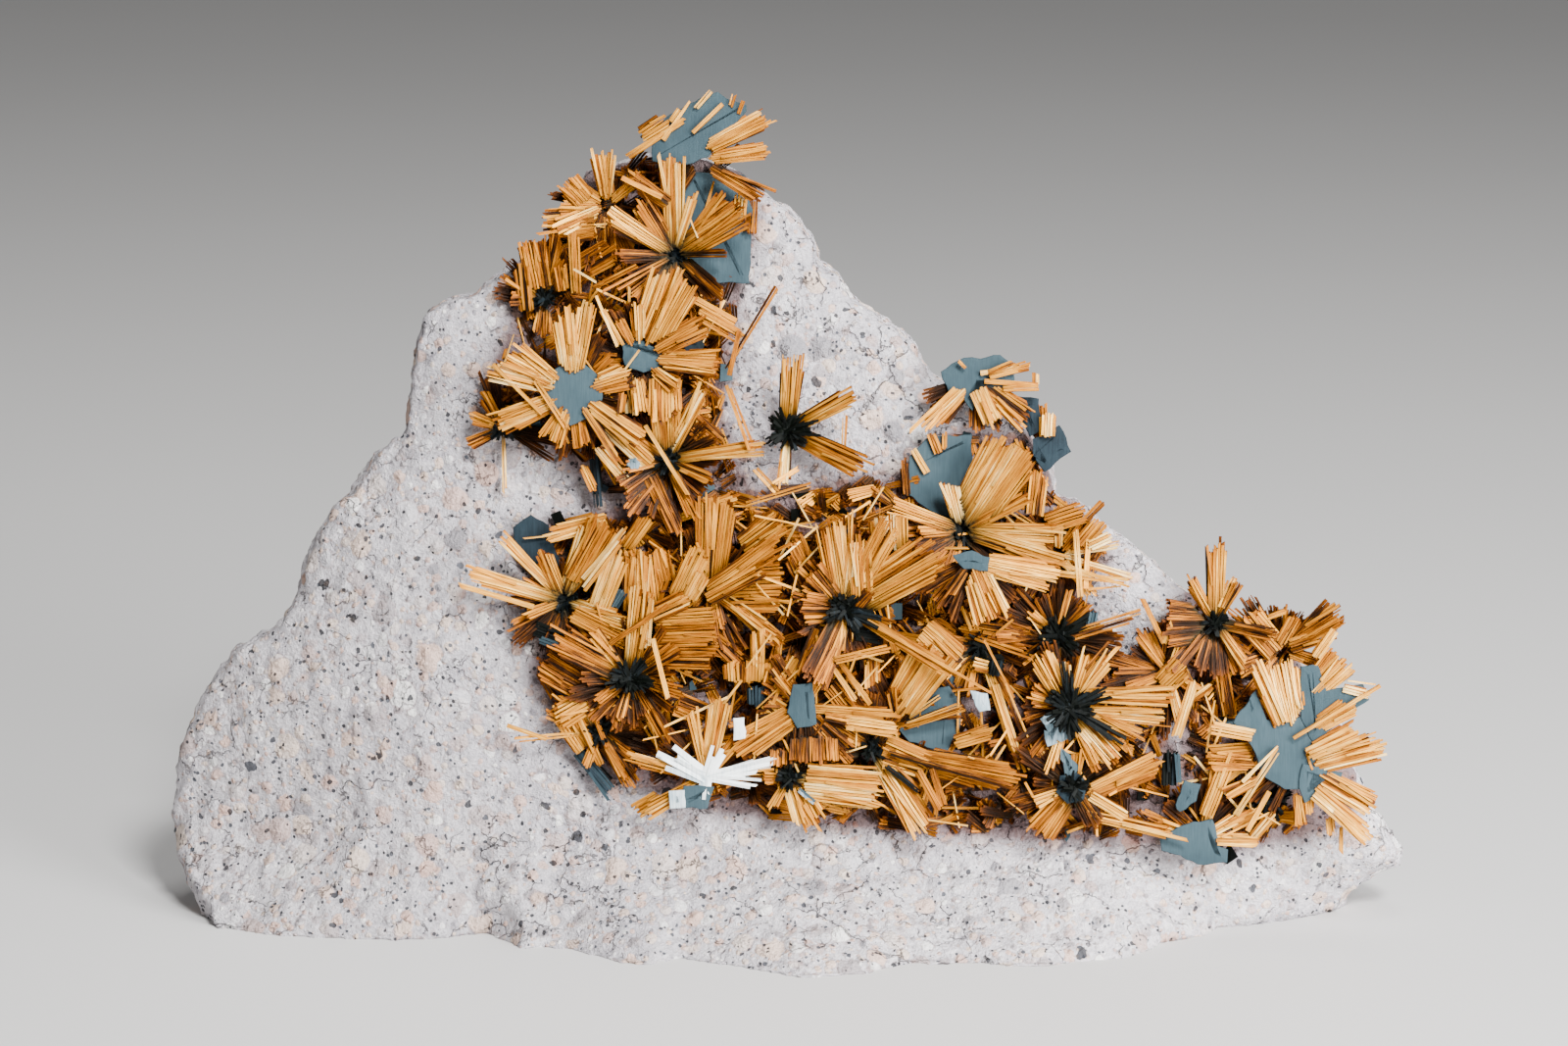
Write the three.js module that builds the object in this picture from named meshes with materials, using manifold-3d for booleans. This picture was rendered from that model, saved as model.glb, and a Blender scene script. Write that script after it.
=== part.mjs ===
// Rutile on hematite: a broken slab of pale volcanic tuff, standing upright on its cut base,
// with a band of six-rayed golden rutile stars that grew on grey hematite plates.
// Millimetres, +Z up, the crystal face looks towards -Y. The origin is on the flat base.
import * as THREE from 'three';
import { mergeVertices } from 'three/addons/utils/BufferGeometryUtils.js';
import Module from 'manifold-3d';

const wasm = await Module();
wasm.setup();

// Driving sizes of the stone.
const LEAN_DEG = 12;
const APRON_TOP = 9.5;
const THICK_FOOT = 28;
const THICK_LOSS_PER_MM_UP = 0.15;
const THICK_LEFT_END = 15;
const THICK_RIGHT_END = 13;
const FRONT_ROWS = 8;
const WALL_ROWS = 3;
const BACK_ROWS = 4;
const STONE_MIDDLE = [-4.3, 33];
const BELOW_FLOOR = 4;

// Driving sizes of the crystals.
const GAP = 0.38;
const RAY_THICK = 1.1;
const PLATE_THICK = 0.9;
const STEM_RADIUS = 1.3;
const FINEST_EDGE = 0.08;
const FINEST_STONE_EDGE = 0.22;

// The stone's outline on its main face, across and up, starting at the left end and
// running along the foot to the right tip, then back over the crest.
const OUTLINE = [
  [-64.3, 11.0], [-64.3, 7.0], [-62.8, 4.5], [-60.8, 2.2], [-58.8, -0.2], [-54.3, -0.3],
  [-50.3, -0.4], [-45.3, -0.6], [-40.3, -0.7], [-34.3, -0.5], [-29.5, 0.0], [-28.3, -1.5],
  [-24.3, -1.0], [-20.3, -1.5], [-14.8, -2.6], [-11.3, -1.8], [-4.3, -2.5], [-0.8, -2.9],
  [2.7, -3.3], [9.7, -2.8], [14.7, -1.8], [20.7, -2.5], [25.2, -2.4], [29.7, -2.3],
  [38.2, -1.5], [39.7, 0.0], [44.7, 0.2], [49.7, 0.5], [54.0, 1.0], [58.2, 1.5],
  [58.6, 3.2], [61.2, 4.7], [64.3, 6.0], [64.2, 8.0], [62.7, 9.5], [61.7, 11.5],
  [60.2, 13.0], [59.9, 15.0], [58.7, 16.5], [58.2, 19.0], [56.2, 24.0], [52.7, 28.2],
  [46.7, 31.5], [40.7, 35.2], [38.7, 37.5], [36.7, 39.0], [34.2, 40.5], [32.2, 42.8],
  [30.2, 44.3], [28.0, 44.5], [27.5, 47.0], [24.7, 51.8], [19.7, 55.0], [14.7, 57.2],
  [13.2, 60.0], [10.7, 62.5], [6.7, 65.0], [4.7, 68.0], [3.2, 68.8], [3.0, 71.0],
  [-0.3, 74.7], [-1.8, 75.5], [-5.3, 78.5], [-10.3, 80.3], [-14.3, 80.0], [-20.6, 78.5],
  [-22.8, 74.5], [-25.3, 70.5], [-28.3, 68.7], [-32.5, 65.7], [-35.3, 65.0], [-37.3, 63.5],
  [-38.3, 61.0], [-39.3, 55.0], [-39.8, 51.0], [-43.3, 48.5], [-45.3, 45.0], [-47.3, 43.5],
  [-49.1, 40.5], [-50.3, 37.5], [-51.3, 34.0], [-53.3, 31.0], [-57.8, 28.5], [-61.3, 24.0],
  [-63.6, 18.0],
];

// Swells and hollows of the main face: across, up, spread, height.
const SWELLS = [
  [-33, 60, 5, 1.6], [-30, 30, 9, 0.8], [-54, 9, 5, -2.2], [5, 62, 6, -0.9],
  [-45, 24, 7, 0.9], [30, 34, 8, -0.8], [57, 12, 6, -1.2], [-16, 76, 6, -1.0],
  [-6, 12, 5, 0.7], [36, 5, 6, 0.8], [-38, 46, 5, -0.8], [8, 46, 5, 0.5],
];

const lean = THREE.MathUtils.degToRad(LEAN_DEG);

// A repeatable number between -1 and 1 for a pair of numbers.
function chance(a, b) {
  const s = Math.sin(a * 12.9898 + b * 78.233 + 4.1) * 43758.5453;
  return 2 * (s - Math.floor(s)) - 1;
}

// Height of the foot's front edge on the main face at one place across.
const footEdge = OUTLINE.filter((p) => p[1] < 2 && p[0] > -59 && p[0] < 59);

function footHeight(u) {
  let k = 1;
  while (k < footEdge.length - 1 && footEdge[k][0] < u) {
    k += 1;
  }
  const a = footEdge[k - 1];
  const b = footEdge[k];
  const t = THREE.MathUtils.clamp((u - a[0]) / (b[0] - a[0]), 0, 1);
  return a[1] + (b[1] - a[1]) * t;
}

// How far the main face stands out at one place: flat on the whole, with swells,
// its left end turned away, and an apron that spreads forward to the foot.
function faceDepth(u, v) {
  let w = 0;
  for (const [su, sv, spread, height] of SWELLS) {
    w += height * Math.exp(-((u - su) ** 2 + (v - sv) ** 2) / (2 * spread * spread));
  }
  w -= 0.3 * Math.max(0, -38 - u);
  w -= 0.12 * Math.max(0, u - 44);
  const foot = footHeight(u);
  const t = (APRON_TOP - v) / (APRON_TOP - foot);
  if (t > 0) {
    const reach = -foot / Math.tan(lean);
    w = w * (1 - Math.min(1, t)) + reach * t ** 1.15;
  }
  return w;
}

// Thickness behind the main face: three broken planes.
function backDepth(u, v) {
  const middle = THICK_FOOT - THICK_LOSS_PER_MM_UP * v;
  const left = THICK_LEFT_END + 0.34 * (u + 64);
  const right = THICK_RIGHT_END + 0.3 * (64 - u);
  return -Math.min(middle, left, right);
}

// Ring number -> share of the way to the outline, and share of the way to the back.
function ringAt(row) {
  if (row <= FRONT_ROWS) {
    return [0.975 * (row / FRONT_ROWS) ** 0.82, 0];
  }
  if (row <= FRONT_ROWS + WALL_ROWS) {
    const k = (row - FRONT_ROWS) / (WALL_ROWS + 1);
    return [1 - 0.075 * k * k, 0.1 + 0.85 * k];
  }
  const rows = FRONT_ROWS + WALL_ROWS + BACK_ROWS;
  return [0.9 * ((rows - row) / (BACK_ROWS - 1)) ** 0.85, 1];
}

function toSolid(geometry) {
  geometry.deleteAttribute('normal');
  geometry.deleteAttribute('uv');
  const merged = mergeVertices(geometry, 1e-5);
  const spots = Float32Array.from(merged.getAttribute('position').array);
  const corners = Uint32Array.from(merged.getIndex().array);
  const mesh = new wasm.Mesh({ numProp: 3, vertProperties: spots, triVerts: corners });
  return new wasm.Manifold(mesh);
}

// The stone, or a copy of it that is larger all round by grow.
function stoneSolid(grow) {
  const around = OUTLINE.length;
  const rows = FRONT_ROWS + WALL_ROWS + BACK_ROWS;
  const ball = new THREE.SphereGeometry(1, around, rows);
  const spots = ball.getAttribute('position');
  for (let i = 0; i < spots.count; i += 1) {
    const row = Math.floor(i / (around + 1));
    const column = (i % (around + 1)) % around;
    const pole = row === 0 || row === rows;
    const [share, behind] = ringAt(row);
    const [rimU, rimV0] = OUTLINE[column];
    const rimV = rimV0 < 2 ? rimV0 - BELOW_FLOOR : rimV0;
    const du = rimU - STONE_MIDDLE[0];
    const dv = rimV - STONE_MIDDLE[1];
    const far = Math.hypot(du, dv);
    const knob = pole ? 0 : chance(row, column);
    const wide = share * (far + grow) + (behind > 0 && behind < 1 ? 0.35 * knob : 0);
    const u = STONE_MIDDLE[0] + (du / far) * (pole ? 0 : wide);
    const v = STONE_MIDDLE[1] + (dv / far) * (pole ? 0 : wide);
    const low = rimV0 < 2 && row >= FRONT_ROWS - 2;
    const front = faceDepth(u, v) - (row === FRONT_ROWS && !low ? 1.1 : 0);
    const back = backDepth(u, v);
    let w = front + (back - front) * behind;
    w += knob * share * (behind === 0 ? 0.35 : 0.8) * (low ? 0.5 : 1);
    w += grow * (1 - 2 * behind);
    spots.setXYZ(i, u, -w, v);
  }
  ball.rotateX(-lean);
  return toSolid(ball);
}

// The outline of one ray along +X: a blunt wedge at the core, near parallel sides and a
// stepped tip.
function rayOutline(length, width, seed, start) {
  const half = width / 2;
  const step = 1 + 0.08 * chance(seed, 3);
  if (width < 1.9) {
    const root = Math.min(half, 0.5);
    return [[start, -root], [length * 0.95, -half], [length, half], [start, root]];
  }
  const wedge = Math.min(Math.max(width * 0.95, start + 0.4), length * 0.5);
  const low = [[start, -0.35], [wedge, -half], [length * 0.88, -half * step]];
  const high = [[length * 0.93, half * step], [wedge, half], [start, 0.35]];
  if (width < 3.2) {
    return [...low, [length, -half * 0.1], ...high];
  }
  return [...low, [length, -half * 0.5], [length * 0.9, half * 0.1], ...high];
}

// A flat outline of rays joined round a hex hub, larger all round by grow.
function raysOutline(at, rays, hub, grow) {
  const ring = Array.from({ length: 6 }, (_, k) => {
    const angle = (k * Math.PI) / 3;
    return [at[0] + hub * Math.cos(angle), at[1] + hub * Math.sin(angle)];
  });
  let flat = new wasm.CrossSection([ring]);
  rays.forEach((ray, k) => {
    const [degrees, length, width, fromU = at[0], fromV = at[1]] = ray;
    const angle = THREE.MathUtils.degToRad(degrees);
    const cos = Math.cos(angle);
    const sin = Math.sin(angle);
    const start = ray.length > 3 ? -0.5 : 0.3;
    const outline = rayOutline(length, width, at[0] * 3 + k, start);
    const turned = outline.map(([x, y]) => [fromU + x * cos - y * sin, fromV + x * sin + y * cos]);
    flat = flat.add(new wasm.CrossSection([turned]));
  });
  flat = flat.simplify(grow > 0 ? 0.4 : 0.2);
  if (grow > 0) {
    flat = flat.offset(grow + 0.12, 'Miter', 4);
  }
  const loops = flat.toPolygons();
  loops.sort((a, b) => b.length - a.length);
  return loops[0];
}

// A sheet with the given outline, thick along the way out, its middle at depthAt(u, v).
function sheet(outline, thick, depthAt) {
  const shape = new THREE.Shape(outline.map((p) => new THREE.Vector2(p[0], p[1])));
  const block = new THREE.ExtrudeGeometry(shape, { depth: thick, bevelEnabled: false });
  const spots = block.getAttribute('position');
  for (let i = 0; i < spots.count; i += 1) {
    const u = spots.getX(i);
    const v = spots.getY(i);
    const w = spots.getZ(i) - thick / 2 + depthAt(u, v);
    spots.setXYZ(i, u, -w, v);
  }
  block.rotateX(-lean);
  return toSolid(block);
}

// The hex prism that a star stands on, down into the stone.
function stem(at, radius, grow) {
  const deep = Math.min(faceDepth(at[0], at[1]), at[2] - 1) - 1.5;
  const tall = at[2] - deep + grow;
  const post = new THREE.CylinderGeometry(radius + 0.4 + grow, radius + grow, tall, 6);
  post.rotateY(0.3 + at[0]);
  post.translate(at[0], -(deep + tall / 2), at[1]);
  post.rotateX(-lean);
  return toSolid(post);
}

// Depth of a star's plane at one place on the face, and of its rays, which rise from the
// core like a bowl, each by a little more or less.
function planeDepth(star, u, v) {
  const [su, sv] = star.tilt ?? [0, 0];
  return star.at[2] + su * (u - star.at[0]) + sv * (v - star.at[1]);
}

function bowlDepth(star, u, v) {
  const reach = Math.hypot(u - star.at[0], v - star.at[1]);
  const turn = Math.atan2(v - star.at[1], u - star.at[0]);
  const rise = (star.bowl ?? 0) + 0.05 * Math.sin(2 * turn + star.at[0]);
  return planeDepth(star, u, v) + rise * reach;
}

function rutileSolid(star, grow) {
  const hub = star.hub ?? STEM_RADIUS;
  const outline = raysOutline(star.at, star.rays, hub + 0.4, grow);
  const rays = sheet(outline, RAY_THICK + 2 * grow, (u, v) => bowlDepth(star, u, v));
  return rays.add(stem(star.at, hub, grow));
}

// Hematite: plates given by their corners on the face, black blades round the core.
function hematiteSolid(star, grow) {
  const iron = star.iron;
  const lift = iron.lift ?? 0.5;
  const at = [star.at[0], star.at[1], star.at[2] + lift];
  let solid = stem(at, iron.core ?? 0.9, grow);
  (iron.plates ?? []).forEach((corners, k) => {
    let flat = new wasm.CrossSection([corners], 'NonZero');
    if (grow > 0) {
      flat = flat.offset(grow, 'Miter', 4);
    }
    const depth = (u, v) => planeDepth(star, u, v) + lift - 0.45 + 0.35 * k;
    solid = solid.add(sheet(flat.toPolygons()[0], PLATE_THICK + 2 * grow, depth));
  });
  if (iron.blades) {
    const outline = raysOutline(at, iron.blades, (iron.core ?? 0.9) + 0.3, grow);
    const depth = (u, v) => bowlDepth(star, u, v) + lift - 0.4;
    solid = solid.add(sheet(outline, 0.8 + 2 * grow, depth));
  }
  return solid;
}

// Six corners of a plate of one radius, turned by a few degrees.
function hexagon(u, v, radius, degrees) {
  return Array.from({ length: 6 }, (_, k) => {
    const angle = THREE.MathUtils.degToRad(degrees + 60 * k);
    const reach = radius * (1 + 0.1 * chance(u + k, v));
    return [u + reach * Math.cos(angle), v + reach * Math.sin(angle)];
  });
}

// The stars, each with the place of its core (across, up, out), the plane's tilt, how
// much the rays rise like a bowl, and its rays: direction in degrees, length, width
// and, where it isn't the core, the place where the ray starts.
const STARS = [
  {
    name: '01_crown', at: [-8.8, 78.5, 4.2], tilt: [0.05, -0.05],
    rays: [[27, 8.5, 2.4], [10, 7, 1.8], [-33, 8, 1.8], [150, 6.8, 2.2], [62, 5.5, 1.6]],
    iron: { plates: [[[-13.8, 78.5], [-8.1, 77.6], [-3.8, 82.2], [-4.1, 83.3], [-6.8, 85.2], [-11.3, 82.5]]] },
  },
  {
    name: '02_summit', at: [-11.3, 68.8, 2.8], bowl: 0.35,
    rays: [
      [92, 10.5, 2.8], [50, 8.5, 1.4], [32, 9.2, 3.8], [0, 6, 1], [148, 8.5, 2], [210, 8.5, 0.8],
      [122, 7, 2.4], [72, 7, 1.2],
    ],
    iron: {
      lift: -0.9, core: 1.2,
      plates: [[[-12, 68.6], [-9.1, 66], [-3.8, 66], [-3.5, 73.5], [-4.3, 77], [-10.1, 77.5]]],
    },
  },
  {
    name: '03_shoulder', at: [-18.3, 73.8, 2.2], bowl: 0.1,
    rays: [[100, 6.2, 1.4], [86, 6.2, 1.4], [150, 4.6, 2.2], [180, 5, 2], [205, 6.4, 2.2], [40, 5, 1.4]],
  },
  {
    name: '05_left_comb', at: [-24.6, 64.4, 1.6], bowl: 0.2, hub: 2,
    rays: [
      [95, 6.4, 3], [112, 6.6, 1.4], [78, 8, 1.2], [60, 5, 1.6], [150, 4.5, 1.4],
      [-95, 4, 2], [180, 4, 1.6],
    ],
  },
  {
    name: '06_sheet', at: [-14.8, 58.2, 4.6], bowl: 0.06,
    rays: [
      [65, 10, 5.8], [28, 8, 2.8], [-4, 8.8, 3], [118, 5, 1.2], [92, 6, 1.6], [-40, 5, 1.6],
      [59, 11.6, 0.7, -6.2, 57],
    ],
    iron: { core: 1.2, plates: [hexagon(-14.8, 58.2, 2.1, 10)] },
  },
  {
    name: '08_wheel', at: [-21.5, 54.8, 6],
    rays: [
      [97, 8.8, 3], [80, 9.8, 2.2], [140, 7.8, 1.6], [152, 8.2, 2], [165, 9.2, 2.4], [203, 8.8, 2.8],
      [235, 6, 1.2], [250, 6.2, 1.8], [-57, 9.5, 1], [-35, 9.5, 2.4], [17, 6.2, 3.2],
    ],
    iron: { core: 1.4, plates: [hexagon(-21.5, 54.8, 2.7, 25)] },
  },
  {
    name: '09_under_wheel', at: [-12.1, 48, 3.1], bowl: 0.23,
    rays: [
      [92, 8.5, 3.8], [63, 8.5, 1.8], [8, 11, 1.6], [145, 8.5, 1.4], [-25, 5.5, 1.4],
      [-65, 7.5, 1.6], [190, 5, 1.4],
    ],
  },
  {
    name: '10_left_edge', at: [-28.8, 51.3, 1.8], bowl: 0.1,
    rays: [[160, 3.8, 1.4], [205, 4.6, 1.4], [120, 4.4, 1.4], [-88, 7.6, 0.6], [40, 4, 1.4]],
  },
  {
    name: '11_lone', at: [0, 51, 2.2], bowl: 0.38, hub: 0.8,
    rays: [[85, 8.5, 2.6], [28, 9.2, 2.2], [-27, 9.5, 2.8], [-95, 6, 1.4]],
    iron: { lift: 1.6, core: 0.9, blades: [[4, 3.6, 1.4], [150, 2.2, 1.2], [215, 2.2, 1.2]] },
  },
  {
    name: '12_right_crest', at: [19, 56.2, 2.4], tilt: [0.04, -0.06],
    rays: [[-38, 7.5, 2.8], [-65, 5.5, 2], [225, 7.4, 1.8], [15, 6, 1.2]],
    iron: { core: 1.2, lift: 0.9, plates: [hexagon(19, 56.2, 3.9, 0)] },
  },
  {
    name: '13_right_notch', at: [26.2, 49.6, 0.6],
    rays: [[95, 4.5, 1.4], [120, 4.4, 1.2], [230, 4, 1.4]],
    iron: {
      core: 1, lift: 0.9,
      plates: [
        [[23.6, 55], [24, 49.6], [27, 48.6], [25.6, 54.6]],
        [[25.2, 50.6], [26.6, 47.4], [28.9, 48.6], [28.4, 51.2], [26.6, 52]],
      ],
    },
  },
  {
    name: '14_great_fan', at: [17.7, 40.9, 3.2], bowl: 0.24, hub: 1.5,
    rays: [[58, 11.5, 6.8], [105, 5.5, 2], [160, 8.8, 2], [182, 5, 1.4], [-3, 10.8, 2.4], [-17, 11.5, 2.4]],
    iron: {
      lift: -1, core: 1,
      plates: [[[17.4, 40.2], [19, 41.6], [18.2, 50.7], [14.2, 50.5], [12.2, 48], [10.5, 45.8], [10.2, 44]]],
    },
  },
  {
    name: '15_under_fan', at: [18.5, 37.8, 6.2], bowl: -0.04, hub: 1,
    rays: [[-68, 7, 4.2], [-12, 9.5, 3.4], [-125, 4.5, 1.4]],
    iron: { core: 0.8, plates: [[[16.6, 38.4], [17.8, 37], [20.2, 36.8], [20.4, 38.2], [18.6, 38.9]]] },
  },
  {
    name: '16_right_splinters', at: [27.6, 38.4, 1.8], bowl: 0.1,
    rays: [[48, 5.4, 2.4], [-18, 8.6, 1], [-50, 6, 1.2], [90, 5.6, 1.2], [12, 6.5, 1]],
  },
  {
    name: '17_heart', at: [5.9, 33, 4.4], bowl: 0.2, hub: 1.5,
    rays: [
      [97, 10, 4.2], [80, 7.5, 2], [62, 10.5, 3], [31, 12, 5.2], [178, 4.8, 3.6], [246, 9, 3.4],
      [-31, 13.5, 1.6], [-96, 4.5, 0.8], [130, 5.5, 2.4],
    ],
    iron: { lift: 1, core: 0.7, blades: [[-20, 4, 1.8], [-60, 3, 1.6], [200, 2.6, 1.2], [140, 2, 1]] },
  },
  {
    name: '19_middle_fan', at: [-7.8, 35, 2.4], bowl: 0.2, hub: 1.6,
    rays: [[85, 10, 4.6], [32, 9.2, 2.6], [-3, 8, 3.6], [-35, 8.5, 2], [118, 5, 2.6], [-80, 5, 2]],
  },
  {
    name: '20_spear', at: [-22.6, 33.8, 3], bowl: 0.16,
    rays: [
      [133, 9.8, 1.4], [163, 10.8, 2], [112, 6, 2], [68, 9.5, 3], [48, 9, 0.9], [-18, 7.2, 1.6],
      [200, 4.5, 1.4],
    ],
    iron: {
      lift: -0.9, core: 1.1,
      plates: [[[-23.4, 33.4], [-22, 34.6], [-24.2, 41.4], [-26, 42.5], [-27.8, 41.2], [-27.6, 38.8]]],
    },
  },
  {
    name: '21_lower_left', at: [-15.8, 26, 4.2], bowl: 0.22,
    rays: [[82, 10, 2.6], [128, 7, 1.6], [150, 9.5, 3.4], [-105, 5, 0.9], [-15, 6, 1.6], [215, 5, 1.6]],
    iron: { lift: 1, core: 1.1, blades: [[-10, 3, 1.4], [60, 2.4, 1.2], [190, 2.8, 1.2]] },
  },
  {
    name: '22_brown_comb', at: [-13.8, 30.4, 2.2], bowl: 0.1,
    rays: [[-4, 7.8, 5], [100, 9.5, 4], [40, 6, 1.6]],
  },
  {
    name: '23_foot_left', at: [-19.1, 20.5, 2.4], bowl: 0.12,
    rays: [[150, 6, 3], [120, 5.5, 1.6], [186, 9, 0.8], [-60, 6, 1], [40, 5, 1.6], [-110, 4, 1.2]],
  },
  {
    name: '24_white_plates', at: [-8.1, 16, 4.8],
    rays: [[165, 9.5, 1.5], [103, 7.8, 1.5], [80, 8.8, 2.4], [3, 7.5, 1.6], [210, 7.8, 1.8], [50, 6, 1.4]],
    iron: {
      core: 1, lift: 0.7,
      plates: [
        [[-12.4, 17.4], [-12.2, 19.4], [-9.9, 19.2], [-7.2, 16.6], [-8.6, 15.2], [-10.6, 16]],
        [[-8, 15.4], [-3.4, 15], [-1.6, 16.6], [-3, 17.6], [-7.4, 17.2]],
        [[-16, 14.6], [-11.4, 16], [-7.6, 16.2], [-6.6, 14.4], [-9.6, 13.2], [-14.4, 14]],
      ],
    },
  },
  {
    name: '25_blue_cube', at: [1.7, 23, 5], hub: 1.1,
    rays: [[212, 8.5, 3.6], [-4, 10, 1.4], [-45, 7.5, 2], [-88, 5.5, 4.6], [60, 5.5, 1.2], [130, 5, 1.4]],
    iron: { core: 1.1, lift: 0.8, plates: [[[0, 22.6], [0.6, 25.4], [2.6, 25.6], [3, 21.4], [1, 21]]] },
  },
  {
    name: '26_foot_middle', at: [0.2, 16, 5.4],
    rays: [[-8, 10, 3.2], [-64, 6.4, 2], [180, 3, 1.4], [90, 3.6, 2.2], [-120, 4, 1.2]],
  },
  {
    name: '27_foot_fan', at: [8.7, 18.8, 3.6], bowl: 0.08,
    rays: [[-10, 16, 2.4], [-58, 10.5, 3.4], [150, 4.5, 1.6], [-38, 7, 1.6], [60, 4, 1.4]],
  },
  {
    name: '28_grey_plate', at: [11.4, 20.8, 2], bowl: 0.3,
    rays: [[57, 9.5, 5.2, 10.6, 21.8], [100, 4.5, 1.6], [20, 8, 1.2]],
    iron: {
      lift: -0.6, core: 1,
      plates: [[[10.5, 20.4], [13.2, 18.5], [16.2, 18], [17.4, 20], [17.7, 22.8], [16.2, 25.2], [12.2, 23.5]]],
    },
  },
  {
    name: '29_gap_blades', at: [19.6, 29.2, 1.6], bowl: 0.1,
    rays: [[-10, 6.6, 2.6], [175, 4.5, 2], [-72, 14, 1.3], [40, 5, 1.4], [110, 4.5, 1.4]],
  },
  {
    name: '31_pyramid', at: [27.4, 30.2, 2.6], bowl: 0.05,
    rays: [[16, 9.9, 0.8], [75, 5.7, 0.8], [140, 4, 1.4], [45, 5, 1.4]],
    iron: { lift: 1.2, core: 0.9, blades: [[30, 4, 1.4], [-40, 2.6, 1.4], [120, 2.2, 1.4], [200, 2.4, 1.2]] },
  },
  {
    name: '32_black_cross', at: [28.5, 23, 4.6], bowl: 0.1, hub: 1.1,
    rays: [
      [7, 11.2, 1.8], [-8, 10.8, 1.8], [-22, 8, 1.6], [-47, 7.8, 3], [-66, 7.5, 1.8], [-108, 7.2, 1.2],
      [120, 7.2, 2.2], [88, 6.5, 1.4], [45, 6.8, 1.8], [165, 4.5, 1.6],
    ],
    iron: {
      lift: 1, core: 1,
      blades: [[25, 4.4, 1.5], [-32, 6.9, 1.5], [-88, 3.6, 1.3], [95, 5.2, 1.3], [150, 3, 1.4], [215, 3, 1.4]],
    },
  },
  {
    name: '33_foot_right', at: [28.9, 15, 4.8], bowl: 0.04,
    rays: [[15, 10.8, 2.8], [-20, 11.8, 1.6], [195, 5, 1.2], [235, 6.8, 3], [-60, 5, 2.4], [80, 4, 1.4]],
    iron: { core: 1, lift: 0.7, plates: [hexagon(28.7, 15, 1.7, 15)] },
  },
  {
    name: '34_tower', at: [43.5, 31.5, 2], bowl: 0.18,
    rays: [[90, 9, 2.4], [180, 5.8, 5.4], [-55, 6, 1.2], [62, 5, 1.2], [-12, 6.5, 1.6], [120, 6, 1.4]],
  },
  {
    name: '35_edge_comb', at: [50.2, 28.8, 1], bowl: 0.2,
    rays: [[133, 5.2, 3], [62, 4.4, 1.2], [48, 7.2, 0.8], [33, 8, 3], [-20, 5, 1.6]],
  },
  {
    name: '36_great_plate', at: [51.5, 18, 4.6],
    rays: [
      [100, 10.5, 4.6], [120, 8.5, 1.4], [55, 10.5, 3.4], [30, 8.5, 2.8], [10, 9.5, 3.8], [-30, 9.2, 3],
      [-45, 10.5, 2], [-85, 5.5, 1.2], [178, 9.5, 2.2], [205, 5, 1.6],
    ],
    iron: {
      core: 1.1, lift: 0.7,
      plates: [[[45.2, 22.4], [46.4, 18.6], [49.6, 14.4], [52, 13.6], [53.4, 16.6], [55.8, 21.4], [53, 24.6], [49, 25.2]]],
    },
  },
  {
    name: '37_corner', at: [41.9, 9.8, 4.2],
    rays: [[-3, 6.2, 1.8], [78, 9.4, 1.4], [160, 5, 1.4], [30, 5.5, 1.4]],
    iron: {
      core: 1.1, lift: 0.7,
      plates: [
        [[37.7, 9.6], [40.2, 7.4], [43.6, 7.2], [44.4, 9], [43.4, 11.4], [40, 11.6]],
        [[39.2, 11], [41.6, 10.6], [41.8, 14.4], [39.6, 15.2]],
      ],
    },
  },
  {
    name: '38_black_rosette', at: [48.7, 13.6, 1.6], rays: [],
    iron: {
      lift: 0.6, core: 1.2,
      blades: [[20, 2.6, 1.6], [100, 2.2, 1.6], [165, 3.6, 1.6], [215, 2.6, 1.6], [285, 2.4, 1.6], [330, 2.2, 1.6]],
    },
  },
  {
    name: '39_small_disc', at: [38.6, 26.4, 1.8], bowl: 0.1, hub: 1,
    rays: [[128, 5.8, 0.8], [70, 6, 0.8], [-75, 5.4, 1.2], [-30, 4.6, 1.4], [200, 5, 1.4]],
  },
];

const stone = stoneSolid(0);
const stoneLarger = stoneSolid(GAP);
const below = new THREE.BoxGeometry(400, 400, 100);
below.translate(0, 0, -50);
const underFloor = toSolid(below);

// Drops edges finer than the finest, and keeps the largest body that cuts have left.
function largestBody(solid, finest = FINEST_EDGE) {
  const bodies = solid.simplify(finest).decompose();
  bodies.sort((a, b) => b.volume() - a.volume());
  return bodies[0];
}

function toMesh(name, solid, colour, roughness, metalness) {
  const cut = solid.getMesh();
  const geometry = new THREE.BufferGeometry();
  geometry.setAttribute('position', new THREE.Float32BufferAttribute(cut.vertProperties, 3));
  geometry.setIndex(Array.from(cut.triVerts));
  const material = new THREE.MeshStandardMaterial({ color: colour, roughness, metalness });
  material.name = name;
  const mesh = new THREE.Mesh(geometry, material);
  mesh.name = name;
  return mesh;
}

const specimen = new THREE.Group();
specimen.name = 'rutile_on_hematite';
const tuff = largestBody(stone.subtract(underFloor), FINEST_STONE_EDGE);
specimen.add(toMesh('tuff_matrix', tuff, 0xc8c2c0, 0.95, 0));

// The stars, the ones that stand out farthest first: each keeps clear of the stone and
// of the crystals before it by the gap.
let taken = stoneLarger;
const nearestFirst = [...STARS].sort((a, b) => b.at[2] - a.at[2]);
for (const star of nearestFirst) {
  if (star.iron) {
    const iron = largestBody(hematiteSolid(star, 0).subtract(taken));
    specimen.add(toMesh(`hematite_${star.name}`, iron, 0x4a5a64, 0.3, 0.7));
    taken = taken.add(hematiteSolid(star, GAP));
  }
  if (star.rays.length > 0) {
    const gold = largestBody(rutileSolid(star, 0).subtract(taken));
    specimen.add(toMesh(`rutile_${star.name}`, gold, 0xd09a4c, 0.4, 0.1));
    taken = taken.add(rutileSolid(star, GAP));
  }
}

export default specimen;
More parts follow.
